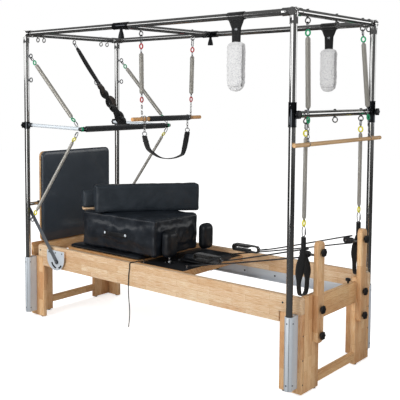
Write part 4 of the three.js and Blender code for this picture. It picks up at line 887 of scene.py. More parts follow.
def eyebolt(x, y, z, paint="chrome", ring_paint="chrome"):
    """An eye through a level tube: its nuts above and below and the ring that hangs under it."""
    ring_z = z - tube_r - eye_drop
    nut = [(0, 0.0), (0, 0.0085), (0.0012, 0.0095), (0.0052, 0.0095), (0.0062, 0.008), (0.0062, 0.0)]
    return [
        pipe(paint, (x, y, ring_z + eye_r - 0.002), (x, y, z + tube_r + 0.006), 0.0045, 14, 0.0005),
        turned(paint, (x, y, z + tube_r - 0.001), (0, 0, 1), nut, 6),
        turned(paint, (x, y, z - tube_r + 0.001), (0, 0, -1), nut, 6),
        upright_ring(ring_paint, x, y, ring_z, 2 * (eye_r + eye_wire), eye_r + eye_wire, eye_wire),
    ]


def star_knob(x, y, z, way, paint="black"):
    """A lobed clamp knob that faces foot or head, with a hub and its threaded stem."""
    knob_r, lobe_deep = 0.0245, 0.0045
    outline = []
    for i in range(60):
        angle = i / 60 * math.tau
        reach = knob_r - lobe_deep * (0.5 - 0.5 * math.cos(6 * angle))
        outline.append((y + reach * math.cos(angle), z + reach * math.sin(angle)))
    x_in, x_out = x + way * 0.008, x + way * 0.0225
    hub = [(-0.002, 0.006), (0.004, 0.0085), (0.009, 0.012)]
    stem = [(0, 0.006), (0.0022, 0.005), (0.0024, 0)]
    return [
        slab(paint, outline, 0, x_in, x_out, 0.0025, 3),
        turned(paint, (x, y, z), (way, 0, 0), hub, 24),
        turned("dark_steel", (x_out - way * 0.002, y, z), (way, 0, 0), stem, 20),
    ]


def screw(at, axis, r=0.0045, proud=0.003, paint="dark_steel"):
    return turned(paint, at, axis, [(-0.002, r), (proud * 0.5, r), (proud, r * 0.6), (proud, r * 0.35),
                                    (proud * 0.4, r * 0.3), (proud * 0.4, 0)], 16)


# The free end of the rope, made first
def make_tail():
    route = [(-0.104, -0.3276, 0.556), (-0.106, -0.345, 0.561), (-0.109, -0.368, 0.562),
             (-0.112, -0.392, 0.562), (-0.119, -0.418, 0.5618), (-0.123, -0.4315, 0.561),
             (-0.124, -0.4344, 0.555), (-0.126, -0.4342, 0.545), (-0.128, -0.434, 0.519),
             (-0.135, -0.434, 0.475), (-0.138, -0.434, 0.406), (-0.1365, -0.434, 0.356),
             (-0.133, -0.434, 0.306), (-0.126, -0.434, 0.239), (-0.128, -0.434, 0.180),
             (-0.136, -0.434, 0.119)]
    path = smooth_path(route, 5)
    tail = piece("rope_tail_cord", "carriage", [tube("rope", path, rope_r, 14)], ["rope_tail"], 60)


make_tail()


# Floor, lights and the dark boards that metal reflects
def make_stage():
    bpy.context.scene.view_settings.view_transform = "Standard"
    size = 14
    corners = [(-size, -size, -0.0006), (size, -size, -0.0006), (size, size, -0.0006), (-size, size, -0.0006)]
    paint = Paint("pale_floor", 0.9)
    speck = paint.noise(2.0, 3)
    paint.shader.inputs["Specular IOR Level"].default_value = 0.0
    rays = paint.node("ShaderNodeLightPath")
    seen = paint.maths("MAXIMUM", rays.outputs["Is Camera Ray"], rays.outputs["Is Transmission Ray"])
    paint.shader.inputs["Emission Color"].default_value = (1, 1, 1, 1)
    paint.feed(paint.shader.inputs["Emission Strength"], paint.maths("MULTIPLY", seen, 0.6))
    # Seen by reflections alone the floor turns dark grey (#4c4c4c): painted shade for metal and gloss to
    # reflect, while the floor itself stays white.
    shade = paint.mix(rays.outputs["Is Glossy Ray"], paint.ramp(speck, (0.3, 0.93), (0.7, 0.95)),
                      colour("#4c4c4c"))
    make_plane("floor", corners, paint.finish(shade))
    world = bpy.data.worlds.new("studio")
    bpy.context.scene.world = world
    world.use_nodes = True
    tree = world.node_tree
    rays = tree.nodes.new("ShaderNodeLightPath")
    seen = tree.nodes.new("ShaderNodeMath")
    seen.operation = "MAXIMUM"
    tree.links.new(rays.outputs["Is Camera Ray"], seen.inputs[0])
    tree.links.new(rays.outputs["Is Transmission Ray"], seen.inputs[1])
    around = tree.nodes.new("ShaderNodeMix")
    around.inputs[2].default_value = 0.5
    around.inputs[3].default_value = 0.12
    tree.links.new(rays.outputs["Is Glossy Ray"], around.inputs[0])
    strength = tree.nodes.new("ShaderNodeMix")
    strength.inputs[3].default_value = 1.0
    tree.links.new(seen.outputs[0], strength.inputs[0])
    tree.links.new(around.outputs[0], strength.inputs[2])
    ground = tree.nodes["Background"]
    ground.inputs["Color"].default_value = (1, 1, 1, 1)
    tree.links.new(strength.outputs[0], ground.inputs["Strength"])


def make_plane(name, corners, material):
    mesh = bpy.data.meshes.new(name)
    mesh.from_pydata(corners, [], [(0, 1, 2, 3)])
    mesh.materials.append(material)
    plane = bpy.data.objects.new(name, mesh)
    bpy.context.scene.collection.objects.link(plane)
    return plane


def make_lamp(name, place, aim, size, watts):
    data = bpy.data.lights.new(name, "AREA")
    data.shape = "RECTANGLE"
    data.size, data.size_y = size
    data.energy = watts
    lamp = bpy.data.objects.new(name, data)
    lamp.location = place
    lamp.rotation_euler = (Vector(aim) - Vector(place)).to_track_quat("-Z", "Y").to_euler()
    lamp.visible_glossy = False
    bpy.context.scene.collection.objects.link(lamp)


def make_card(name, start, stop, low, high, glow):
    """An upright board seen by metal's reflections alone: dark ones edge the tubes, bright ones line them."""
    corners = [(*start, low), (*stop, low), (*stop, high), (*start, high)]
    paint = Paint(name, 1.0)
    paint.shader.inputs["Specular IOR Level"].default_value = 0.0
    paint.shader.inputs["Emission Color"].default_value = (1, 1, 1, 1)
    paint.shader.inputs["Emission Strength"].default_value = glow
    card = make_plane(name, corners, paint.finish(paint.ramp(paint.noise(0.5), (0.3, 0.01), (0.7, 0.02))))
    card.visible_camera = False
    card.visible_diffuse = False
    card.visible_shadow = False
    card.visible_transmission = False


make_stage()
make_lamp("key", (-1.2, -5.2, 3.8), (0, 0, 0.6), (2.8, 2.8), 210)
make_lamp("fill", (4.6, -2.4, 3.4), (0, 0, 0.8), (2.6, 2.6), 60)
make_lamp("rim", (-1.5, 4.2, 3.6), (0, 0, 1.0), (3.0, 2.0), 40)
make_card("dark_foot", (-6.0, -2.6), (-6.0, 6.0), 0.0, 4.6, 0)
make_card("dark_back", (-6.0, 6.0), (3.6, 6.0), 0.0, 4.6, 0)
make_card("light_back", (0.6, 5.9), (-1.4, 5.9), 0.0, 4.4, 0.55)
make_card("light_front", (-0.9, -6.5), (2.3, -6.5), 0.0, 5.0, 2.0)
make_card("light_left", (-6.4, -2.8), (-3.4, -6.6), 1.9, 3.6, 1.7)
make_card("light_head", (6.4, 3.0), (3.8, 6.6), 1.3, 3.3, 1.5)


# Wood frame
def make_rail(side):
    name = side_names[side]
    y_in, y_out = side * rail_in_y, side * rail_out_y
    outline = [(-leg_in_x + gap, rail_low), (leg_in_x - gap, rail_low), (leg_in_x - gap, rail_step),
               (leg_out_x, rail_step)]
    for corner_x, start in ((leg_out_x - rail_round, 0), (-rail_foot_x + rail_round, 90)):
        for i in range(9):
            angle = math.radians(start + 90 * i / 8)
            outline.append((corner_x + rail_round * math.cos(angle),
                            rail_high - rail_round + rail_round * math.sin(angle)))
    outline += [(-rail_foot_x, rail_step), (-leg_in_x + gap, rail_step)]
    parts = [slab("wood_x", outline, 1, y_in, y_out, 0.003, 3)]
    web_in, web_out = side * (rail_in_y - 0.005), side * (rail_in_y + 0.001)
    ledge_in = side * (rail_in_y - 0.026)
    joint_x = 0.262
    for x0, x1 in ((-1.018, joint_x - 0.0004), (joint_x + 0.0004, 1.130)):
        parts.append(box("track", x0, x1, web_in, web_out, 0.389, 0.456, 0.0006))
        parts.append(box("track", x0, x1, ledge_in, web_in, 0.389, 0.393, 0.0006))
        parts.append(box("track", x0, x1, ledge_in, ledge_in + side * 0.003, 0.3932, 0.3972, 0.0006))
        parts.append(box("track", x0, x1, web_in - side * 0.0012, web_in, 0.444, 0.447, 0.0003))
    for x in (0.240, 0.490, -0.260, -0.760, 0.740, 0.990):
        parts.append(screw((x, web_in, 0.425), (0, -side, 0), 0.0065, 0.0024))
    for x in (-1.045, 1.045, 1.100):
        parts.append(screw((x, y_out, 0.515), (0, side, 0), 0.006, 0.0012))
    if side == front:
        parts.append(box("dowel_wood", -0.1015, -0.1003, y_out - 0.0001, y_out + 0.004, rail_low + 0.004,
                         rail_high - 0.004, 0.0003))
        parts.append(box("wood_y", -1.08, -1.05, y_in - 0.0005, rail_in_y - gap, 0.510, rail_high - gap,
                         0.003))
    piece("rail_looks_" + name, "frame", parts, ["rail_" + name])


def make_leg(end, side):
    name = end_names[end] + "_" + side_names[side]
    x_out, x_in, x_board = end * leg_out_x, end * leg_in_x, end * (leg_out_x - board)
    y_in, y_out = side * leg_in_y, side * leg_out_y
    low, top = 0.006, rail_step - gap
    y_end = side * 0.228
    board_top = top if end == foot else rail_high
    parts = [
        box("wood_z", x_in, x_out, y_in, y_out, low, top, 0.003),
        box("wood_z", x_board, x_out, y_in - side * 0.0004, y_end, low, board_top, 0.003),
    ]
    for x, y in ((x_in + end * 0.030, side * 0.406), (end * (leg_out_x - board / 2), side * 0.258)):
        profile = [(0, 0.0), (0, 0.0125), (0.0015, 0.013), (0.0075, 0.013), (0.0085, 0.0)]
        parts.append(turned("rubber", (x, y, 0), (0, 0, 1), profile, 24))
    for z in (0.06, 0.20, 0.34):
        parts.append(screw((x_out, side * 0.406, z), (end, 0, 0), 0.005, 0.0008))
    piece("leg_looks_" + name, "frame", parts, ["leg_" + name])


def make_end_board_head():
    inner = leg_out_x - board
    middle = leg_out_x - board / 2
    stop = [(-0.002, 0.0), (-0.002, 0.0055), (0.014, 0.006), (0.0145, 0.013), (0.016, 0.0155), (0.026, 0.016),
            (0.0305, 0.0145), (0.032, 0.0100), (0.032, 0.0)]
    parts = [
        box("wood_y", inner, leg_out_x, -0.2277, 0.2277, 0.400, end_head_high, 0.003),
        turned("black", (middle, 0.150, end_head_high), (0, 0, 1), stop, 28),
    ]
    piece("end_board_head_looks", "frame", parts, ["end_board_head"])


def dress_board(node, paint, bevel=0.003):
    """A CAD board keeps its shape and gets rounded rims and its material."""
    obj = nodes[node]
    obj.data.materials.clear()
    obj.data.materials.append(paints[paint])
    weld = obj.modifiers.new("weld", "WELD")
    weld.merge_threshold = 0.00001
    rims = obj.modifiers.new("rims", "BEVEL")
    rims.width = bevel
    rims.segments = 3
    rims.limit_method = "ANGLE"
    rims.angle_limit = math.radians(40)
    rims.harden_normals = True


def make_riser(side):
    name = side_names[side]
    y = side * riser_y
    half = riser_w / 2
    x0 = leg_out_x + gap
    parts = [slab("wood_z", rounded(y - half, y + half, riser_low, riser_high, 0.030, 10), 0, x0, riser_out_x,
                  0.004, 3)]
    for z in riser_knobs:
        parts += star_knob(riser_out_x, y, z, head)
        parts.append(turned("dark_steel", (riser_out_x, y, z), (1, 0, 0), [(-0.001, 0.0095), (0.0012, 0.0095),
                                                                            (0.0016, 0.006)], 24))
    parts.append(pipe("chrome", (riser_out_x - 0.014, y, sheave_z), (1.122, y, sheave_z), 0.007, 20))
    parts.append(turned("chrome", (1.1655, y, sheave_z), (-1, 0, 0),
                        [(0, 0.0), (0, 0.012), (0.004, 0.012), (0.005, 0.01), (0.005, 0.0)], 6))
    for way in (front, back):
        y0, y1 = y + way * 0.0073, y + way * 0.0113
        outline = rounded(1.064, 1.126, sheave_z - 0.017, sheave_z + 0.017, 0.0165, 8)
        parts.append(slab("black", outline, 1, y0, y1, 0.0008))
        parts.append(turned("steel", (sheave_x, y + way * 0.0113, sheave_z), (0, way, 0),
                            [(-0.001, 0.0075), (0.003, 0.0075), (0.004, 0.006), (0.004, 0)], 6))
    parts.append(box("chrome", 1.118, 1.122, y - 0.0108, y + 0.0108, sheave_z - 0.0085, sheave_z + 0.0085,
                     0.0008))
    piece("riser_looks_" + name, "frame", parts, ["riser_" + name])
    wheel = [(-0.007, 0.0043), (-0.007, 0.0205), (-0.0062, 0.0218), (-0.005, 0.0218), (-0.0022, 0.0176),
             (0, 0.0170), (0.0022, 0.0176), (0.005, 0.0218), (0.0062, 0.0218), (0.007, 0.0205),
             (0.007, 0.0043)]
    sheave = [turned("black", (sheave_x, y, sheave_z), (0, 1, 0), wheel, 40)]
    sheave.append(turned("steel", (sheave_x, y, sheave_z), (0, 1, 0),
                         [(-0.0071, 0.0041), (-0.0071, 0.009), (0.0071, 0.009), (0.0071, 0.0041)], 24))
    piece("sheave_looks_" + name, "pulley_" + name, sheave, ["sheave_" + name])


# Tube frame
def make_post(end, side):
    name = end_names[end] + "_" + side_names[side]
    x, y = end * post_x, side * post_y
    face = side * (leg_out_y + gap)
    mid = y - side * 0.004
    parts = [pipe("chrome", (x, y, socket_high - 0.002), (x, y, top_z - tube_seat), tube_r, 40)]
    outline = rounded(x - 0.020, x + 0.020, *sorted((face, mid)), 0.003, 3)
    parts.append(slab("silver", outline, 2, socket_low, socket_high, 0.001))
    parts.append(turned("silver", (x, y, socket_low), (0, 0, 1), [
        (0, tube_r), (0, socket_r - 0.0007), (0.001, socket_r), (socket_high - socket_low - 0.001, socket_r),
        (socket_high - socket_low, socket_r - 0.0007), (socket_high - socket_low, tube_r + 0.0002)], 40))
    parts.append(turned("black", (x, y, socket_high), (0, 0, 1),
                        [(-0.001, 0.0192), (0.0016, 0.0215), (0.003, 0.0192)], 40))
    parts.append(turned("black", (x, y, socket_low), (0, 0, 1),
                        [(0.0004, 0.0), (0.0004, 0.0185), (0.003, 0.0189)], 32))
    # Two dark strips down the socket's face stand for its grooves: painted shade where the recess would be.
    for groove_shade_x in (-0.0125, 0.0125):
        parts.append(box("dark_steel", x + groove_shade_x - 0.0011, x + groove_shade_x + 0.0011, y + side * 0.0205,
                         y + side * 0.0222, socket_low + 0.004, socket_high - 0.004, 0.0004))
    for z in (0.075, 0.425):
        parts.append(screw((x + 0.0248, y, z), (1, 0, 0), 0.004, 0.003))
        parts.append(screw((x, y + side * 0.0248, z), (0, side, 0), 0.004, 0.0022))
    if end == foot:
        for z in post_eye_zs:
            parts.append(pipe("steel", (x + tube_r - 0.004, y, z), (post_eye_x - eye_r + 0.002, y, z), 0.0045,
                              14))
            parts.append(turned("steel", (x + tube_r - 0.0005, y, z), (1, 0, 0),
                                [(0, 0.0095), (0.0045, 0.0095), (0.0055, 0.008), (0.0055, 0.004)], 6))
            parts.append(oval("steel", np.array([post_eye_x, y, z]), np.array([1.0, 0, 0]),
                              np.array([0, 0, 1.0]), 2 * (eye_r + eye_wire), eye_r + eye_wire, eye_wire))
        parts.append(turned("gloss_black", (x, y, push_z - 0.026), (0, 0, 1), [
            (0, 0.0193), (0, 0.0222), (0.001, 0.023), (0.051, 0.023), (0.052, 0.0222), (0.052, 0.0193)], 40))
        parts.append(pipe("steel", (x, y, push_z), (x, side * 0.437, push_z), 0.007, 20))
        parts += star_knob(x - sleeve_r, y, push_z, foot)
    piece("post_looks_" + name, "frame", parts, ["post_" + name])


def barrel(length, inner, rim, outer, edge, start=0.0):
    """The profile of a sleeve or a bar: flat ends, broken rims and a straight middle."""
    stop = start + length
    return [(start, inner), (start, rim), (start + edge, outer), (stop - edge, outer), (stop, rim),
            (stop, inner)]


def sleeve(paint, a, b, radius):
    """A clamp sleeve over a tube: rolled rims and a shallow waist."""
    a, b = np.asarray(a, float), np.asarray(b, float)
    length = np.linalg.norm(b - a)
    return turned(paint, a, b - a, [(0, tube_r + 0.0002), (0, radius - 0.001), (0.0012, radius),
                                    (0.005, radius), (0.006, radius - 0.0006),
                                    (length - 0.006, radius - 0.0006), (length - 0.005, radius),
                                    (length - 0.0012, radius), (length, radius - 0.001),
                                    (length, tube_r + 0.0002)], 40)


def make_end_beam(end):
    x = end * post_x
    parts = [pipe("chrome", (x, -post_y, top_z), (x, post_y, top_z), tube_r, 40)]
    for side in (front, back):
        y = side * post_y
        corner = np.array([x, y, top_z])
        arms = [(np.array(way, float), past) for way, past in (
            ((0, side, 0), sleeve_r), ((0, 0, 1), tube_r), ((end, 0, 0), tube_r))]
        for way, past in arms:
            parts.append(sleeve("chrome", corner + way * past, corner - way * sleeve_reach, sleeve_r))
        for way, past in arms:
            cap = [(0, 0.018), (past - 0.0012, 0.0225), (past, 0.0215), (past + 0.0004, 0.0)]
            parts.append(turned("chrome", corner, way, cap, 40))
        parts.append(screw((x + screw_seat, y, top_z - 0.034), (1, 0, 0), 0.0042, 0.003, "steel"))
        parts.append(screw((x, y + side * screw_seat, top_z - 0.050), (0, side, 0), 0.0036, 0.002, "steel"))
        parts.append(screw((x - end * 0.045, y + side * screw_seat, top_z), (0, side, 0), 0.0036, 0.002,
                           "steel"))
    for y in head_eye_ys if end == head else foot_eye_ys:
        parts += eyebolt(x, y, top_z)
    piece("beam_looks_" + end_names[end], "frame", parts, ["beam_" + end_names[end]])


def make_long_beam(side):
    reach = post_x - tube_seat
    y = side * post_y
    name = side_names[side]
    parts = [pipe("chrome", (-reach, y, top_z), (reach, y, top_z), tube_r, 40)]
    piece("beam_looks_" + name, "frame", parts, ["beam_" + name])


# Jump board
def make_jump_pad():
    board_back = 0.018
    x0 = -(leg_out_x - board - gap) + board_back + gap
    body = pad("gloss_leather", (x0, -0.360, 0.560), (x0 + 0.030, 0.360, 1.250), 0.0110, 0.02, 0.003,
               turn_r=0.036, flat=0)
    obj = piece("jump_pad_looks", "frame", [body], ["jump_board_pad"], 70)


# Footbar
def make_footbar_plate(side):
    name = side_names[side]
    y_rail, y_spacer, y_plate = (side * (rail_out_y + d) for d in (0.0003, 0.016, 0.020))
    mid_x, r = -0.8555, 0.0935
    outline = [(mid_x - r, 0.540)]
    outline += [(mid_x + r * math.cos(math.radians(a)), 0.4845 + r * math.sin(math.radians(a)))
                for a in range(180, 361, 9)]
    outline += [(mid_x + r, 0.540)]
    parts = [slab("silver", outline, 1, y_spacer, y_plate, 0.0012)]
    parts.append(box("wood_x", mid_x - r, mid_x + r, y_rail, y_spacer, 0.4935, 0.540, 0.002))
    pin, nut = ((footbar_low_x, side * y, footbar_low_z) for y in (0.4642, 0.4600))
    parts.append(pipe("steel", (footbar_low_x, y_rail, footbar_low_z), pin, 0.006, 20))
    parts.append(turned("steel", nut, (0, side, 0), [(0, 0.0105), (0.003, 0.0105), (0.0042, 0.008),
                                                     (0.0042, 0.0)], 6))
    for reach, start, stop in ((0.058, 200, 262), (0.058, 288, 330)):
        angles = [math.radians(a) for a in range(start, stop, 6)]
        arc = [(footbar_low_x + reach * math.cos(a), side * 0.4502, 0.470 + reach * math.sin(a))
               for a in angles]
        parts.append(ribbon("black", arc, (0, side, 0), 0.0006, 0.010, soft=0.4))
    for x, z in ((mid_x - 0.070, 0.523), (mid_x + 0.070, 0.523), (mid_x, 0.523)):
        parts.append(screw((x, y_plate, z), (0, side, 0), 0.0055, 0.0022))
    piece("footbar_plate_looks_" + name, "frame", parts, ["footbar_plate_" + name])


def make_footbar():
    low, top = np.array([footbar_low_x, 0, footbar_low_z]), np.array([footbar_top_x, 0, footbar_top_z])
    parts = []
    for side in (front, back):
        y0, y1 = side * 0.4503, side * 0.4563
        middle = (0, (y0 + y1) / 2, 0)
        arm = np.array([low, low + (top - low) * 0.02, low + (top - low) * 0.98, top]) + middle
        parts.append(ribbon("arm_steel", arm, (0, side, 0), 0.0058, 0.032, soft=0.05))
        for spot, ring in ((low, 0.0066), (top, 0.0)):
            profile = barrel(0.006, ring, 0.015, 0.016, 0.001, -0.003)
            parts.append(turned("dark_steel", spot + middle, (0, side, 0), profile, 32))
        parts.append(turned("steel", top + (0, y1, 0), (0, side, 0),
                            [(-0.001, 0.009), (0.0004, 0.009), (0.0004, 0.0)], 6))
    bar_half, grip_half = 0.4505, 0.350
    parts.append(pipe("chrome", top - (0, bar_half, 0), top + (0, bar_half, 0), 0.013, 32))
    grip = barrel(2 * grip_half, 0.0135, 0.0172, 0.019, 0.0025)
    parts.append(turned("foam", top - (0, grip_half, 0), (0, 1, 0), grip, 36))
    piece("footbar_looks", "footbar_body", parts, ["footbar"])


# Carriage
def make_deck():
    deck = slab("deck_ply", rounded(deck_foot_x, deck_head_x, deck_low, deck_high, 0.006, 5), 1,
                -deck_half_w, deck_half_w, 0.003, 3)
    parts = [deck]
    parts.append(slab("black", rounded(-0.128, deck_head_x - 0.006, -deck_half_w + 0.006, deck_half_w - 0.006,
                                       0.004, 4), 2, deck_high - 0.0005, deck_high + 0.0012, 0.0005))
    cheek_low = axle_z - 0.014
    for x in axle_xs.values():
        for side in (front, back):
            y = side * 0.300
            for y0, y1, low in ((-0.010, -0.006, cheek_low), (0.006, 0.010, cheek_low),
                                (-0.010, 0.010, deck_low - 0.004)):
                parts.append(box("dark_steel", x - 0.016, x + 0.016, y + y0, y + y1, low, deck_low, 0.0008))
    bar_x, bar_z, bar_half, bracket_low = -0.250, 0.470, 0.160, 0.456
    parts.append(pipe("steel", (bar_x, -bar_half, bar_z), (bar_x, bar_half, bar_z), 0.007, 20))
    for side in (front, back):
        y = side * 0.150
        parts.append(box("dark_steel", bar_x - 0.016, bar_x + 0.016, y - 0.010, y + 0.010, bracket_low,
                         deck_low, 0.0012))
    spring_foot_x, spring_head_x = -0.786, -0.282
    for y in (-0.120, -0.040, 0.040, 0.120):
        parts.append(coil((spring_foot_x, y, bar_z), (spring_head_x, y, bar_z), 0.0112, 0.0016, 0.0046))
        parts.append(turned("steel", (spring_head_x, y, bar_z), (1, 0, 0),
                            [(-0.012, 0.0), (-0.012, 0.008), (0, 0.011), (0.004, 0.006), (0.030, 0.004),
                             (0.030, 0.0)], 16))
        parts.append(turned("steel", (spring_foot_x, y, bar_z), (1, 0, 0),
                            [(-0.014, 0.006), (0.004, 0.011), (0.016, 0.008), (0.016, 0.0)], 16))
    parts.append(box("dark_steel", -0.8, -0.784, -bar_half, bar_half, bracket_low, deck_low, 0.002))
    parts += toothed_bar()
    for side in (front, back):
        parts += cleat(0.215, side * 0.250)
        y0, y1 = side * 0.1383, side * 0.1477
        parts.append(slab("black", rounded(0.058, 0.078, deck_high - 0.0005, 0.5700, 0.007, 5), 1, y0, y1,
                          0.001))
    parts += cleat(-0.100, -0.318)
    piece("deck_looks", "carriage", parts, ["carriage_deck"])


def cleat(x, y):
    profile = [(-0.001, 0.0), (-0.001, 0.0088), (0.003, 0.0088), (0.005, 0.006), (0.016, 0.006),
               (0.018, 0.009), (0.021, 0.009), (0.022, 0.0075), (0.022, 0.0)]
    return [turned("steel", (x, y, deck_high), (0, 0, 1), profile, 24)]


def toothed_bar():
    """The notched bar that holds the springs, under the deck's foot edge."""
    parts = [box("black", -0.8375, -0.8300, -0.170, 0.170, 0.505, 0.522, 0.001)]
    for i in range(9):
        y = -0.150 + i * 0.0375
        parts.append(box("black", -0.8379, -0.8320, y - 0.006, y + 0.006, 0.522, 0.534, 0.0008))
    return parts


def make_wheels(end):
    name = "wheels_" + end_names[end]
    x = axle_xs[end]
    parts = [pipe("steel", (x, -0.376, axle_z), (x, 0.376, axle_z), 0.006, 20)]
    tyre = [(-0.008, 0.009), (-0.008, 0.0195), (-0.0065, 0.0215), (-0.003, 0.022), (0.003, 0.022),
            (0.0065, 0.0215), (0.008, 0.0195), (0.008, 0.009)]
    hub = [(-0.0082, 0.0), (-0.0082, 0.0105), (-0.006, 0.0125), (0.006, 0.0125), (0.0082, 0.0105),
           (0.0082, 0.0)]
    for side in (front, back):
        parts.append(turned("black", (x, side * 0.376, axle_z), (0, 1, 0), tyre, 40))
        parts.append(turned("steel", (x, side * 0.376, axle_z), (0, 1, 0), hub, 28))
    piece(name + "_looks", name, parts, ["wheel_pair_" + end_names[end]])


def make_carriage_pads():
    low, high = (-0.840, -0.340, 0.5530), (-0.130, 0.340, 0.580)
    body = stuffed(pad("pad_leather", low, high, 0.0125, 0.03, 0.002, wave=0.0008, turn_r=0.030), 0.007,
                   0.006, 0.003)
    parts = [body, seam_loop(body, 0.5600, 0.030, 0.0012)]
    parts.append(box("deck_ply", -0.8385, -0.1315, -0.3385, 0.3385, deck_high + gap, 0.5545, 0.0012))
    obj = piece("carriage_pad_looks", "carriage", parts, ["carriage_pad"], 70)
    for side in (front, back):
        name = side_names[side]
        y0, y1 = sorted((side * 0.145, side * 0.260))
        x0, x1, low, high, edge = -0.010, 0.067, 0.585, 0.762, 0.034
        mid = ((x0 + x1) / 2, (y0 + y1) / 2)
        body = pad("pad_leather", (x0, y0, low), (x1, y1, high), edge, 0.012, 0.002, wave=0.0012,
                   seed=side)
        body = stuffed(body, 0.005, 0.005, 0.002)
        inset = 0.0002
        outline = rounded(y0 + inset, y1 - inset, low + inset, high - inset, edge, 10)
        arc = [(mid[0], a, b) for a, b in outline]
        parts = [body, sewn(body, arc, 0.0013, closed=True)]
        parts.append(pipe("steel", (*mid, deck_high + 0.003), (*mid, 0.600), 0.009, 24))
        parts.append(slab("dark_steel", rounded(mid[0] - 0.030, mid[0] + 0.030, mid[1] - 0.030,
                                                mid[1] + 0.030, 0.006, 4), 2, deck_high + gap,
                          deck_high + 0.006, 0.001))
        for dx in (-0.021, 0.021):
            for dy in (-0.021, 0.021):
                parts.append(screw((mid[0] + dx, mid[1] + dy, deck_high + 0.0055), (0, 0, 1), 0.004, 0.0022,
                                   "steel"))
        parts.append(turned("steel", (*mid, deck_high + 0.006), (0, 0, 1),
                            [(0, 0.0), (0, 0.013), (0.012, 0.011), (0.014, 0.009)], 24))
        rest = piece("shoulder_rest_looks_" + name, "carriage", parts, ["shoulder_rest_" + name], 60)
    body = pad("pad_leather", (0.074, -0.138, 0.562), (0.330, 0.138, 0.602), 0.015, 0.02, 0.002, wave=0.0008,
               seed=3, turn_r=0.028)
    body = stuffed(body, 0.005, 0.006, 0.003)
    parts = [body, seam_loop(body, 0.5785, 0.028, 0.0012)]
    parts.append(box("black", 0.068, 0.296, -0.1375, 0.1375, 0.5585, 0.5675, 0.0015))
    parts.append(pipe("steel", (0.068, -0.1478, 0.561), (0.068, 0.1478, 0.561), 0.003, 14, 0.0005))
    obj = piece("headrest_looks", "headrest_body", parts, ["headrest"], 60)


def make_boxes():
    block_turn = 51.2
    low, high = (-0.724, -0.305, 0.5803), (-0.016, 0.175, 0.841)
    body = pad("box_leather", low, high, 0.018, 0.016, 0.003, pull=0.003, wave=0.0045, seed=7)
    body = stuffed(body, 0.008, 0.005, 0.002, 0.005, 16)
    parts = [body, seam_loop(body, 0.822), seam_loop(body, 0.600)]
    for x, y in ((low[0], low[1]), (high[0], low[1]), (high[0], high[1]), (low[0], high[1])):
        parts.append(sewn(body, [(x, y, z) for z in np.linspace(0.604, 0.820, 24)], 0.0016))
    parts += handle()
    obj = piece("sitting_box_looks", "carriage", parts, ["sitting_box"], 70)
    small_long, small_deep, small_low = 0.262, 0.062, 0.853
    small = [box("wood_x", 0, small_long, 0, small_deep, high[2], small_low + 0.0005, 0.0015)]
    body = pad("block_leather", (0, 0, small_low), (small_long, small_deep, 0.978), 0.014, 0.012, 0.0025,
               wave=0.001, seed=11)
    small.append(stuffed(body, 0.006, 0.004, 0.002, 0.003, 6))
    small_obj = piece("small_block_looks", "carriage", turned_about(small, (-0.722, -0.297), block_turn), (),
                      60)
    body = pad("block_leather", (0, 0, 0.8413), (0.767, 0.112, 1.035), 0.014, 0.014, 0.002, pull=0.002,
               wave=0.002, seed=5)
    body = stuffed(body, 0.007, 0.004, 0.001, 0.003, 12)
    long = [body, seam_loop(body, 1.012), seam_loop(body, 0.864)]
    long_obj = piece("long_block_looks", "carriage", turned_about(long, (-0.542, -0.349), block_turn),
                     ["long_block"], 70)


def handle():
    """The carrying strap on the box's front side, with a metal plate and stud at each end."""
    y_out, z = -0.321, 0.705
    line = [(-0.484, -0.3062), (-0.478, -0.3085), (-0.462, -0.3165), (-0.440, y_out + 0.001), (-0.380, y_out),
            (-0.320, y_out + 0.001), (-0.298, -0.3165), (-0.282, -0.3085), (-0.276, -0.3062)]
    route = [(x, y, z) for x, y in line]
    parts = [ribbon("black", smooth_path(route, 5), (0, 0, 1), 0.030, 0.005)]
    for x in (-0.478, -0.282):
        parts.append(box("black", x - 0.012, x + 0.012, -0.3115, -0.3045, z - 0.019, z + 0.019, 0.0015))
        parts.append(screw((x, -0.3115, z), (0, -1, 0), 0.0095, 0.005, "pale_tube"))
    return parts


# Ropes and hand loops
def make_rope(side):
    name = side_names[side]
    wrap, thick_r, cleat_x = 0.02215, rope_r + 0.0012, 0.2275
    points = [(0.468, side * 0.218, 0.629), (0.62, side * 0.2305, 0.6655)]
    for i in range(9):
        angle = math.pi * (0.5 - i / 8)
        points.append((sheave_x + wrap * math.cos(angle), side * riser_y, sheave_z + wrap * math.sin(angle)))
    points += [(0.62, side * 0.2582, 0.6462), (cleat_x, side * 0.250, 0.5628)]
    path = smooth_path(points, 5)
    parts = [tube("rope", path[:11], thick_r, 14), tube("rope", path[50:], thick_r, 14)]
    piece("rope_turn_looks_" + name, "frame", [tube("rope", path[10:51], thick_r, 14)], (), 60)
    way = unit((0.152, side * 0.0125, 0.0365))
    start = np.array(points[0])
    parts.append(turned("black", start, way, [(0.018, 0.0034), (0.02, 0.0052), (0.058, 0.0052),
                                              (0.062, 0.0034)], 20))
    parts.append(turned("steel", start, way, [(-0.001, 0.0), (-0.001, 0.005), (0.014, 0.006), (0.02, 0.004)],
                        20))
    end = np.array(points[-1])
    parts.append(turned("black", end, unit((0.3925, side * 0.0082, 0.0834)),
                        [(0.001, 0.0034), (0.003, 0.005), (0.030, 0.005), (0.033, 0.0034)], 20))
    rope = piece("rope_looks_" + name, "frame", parts, ["rope_" + name], 60)
    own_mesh(rope)


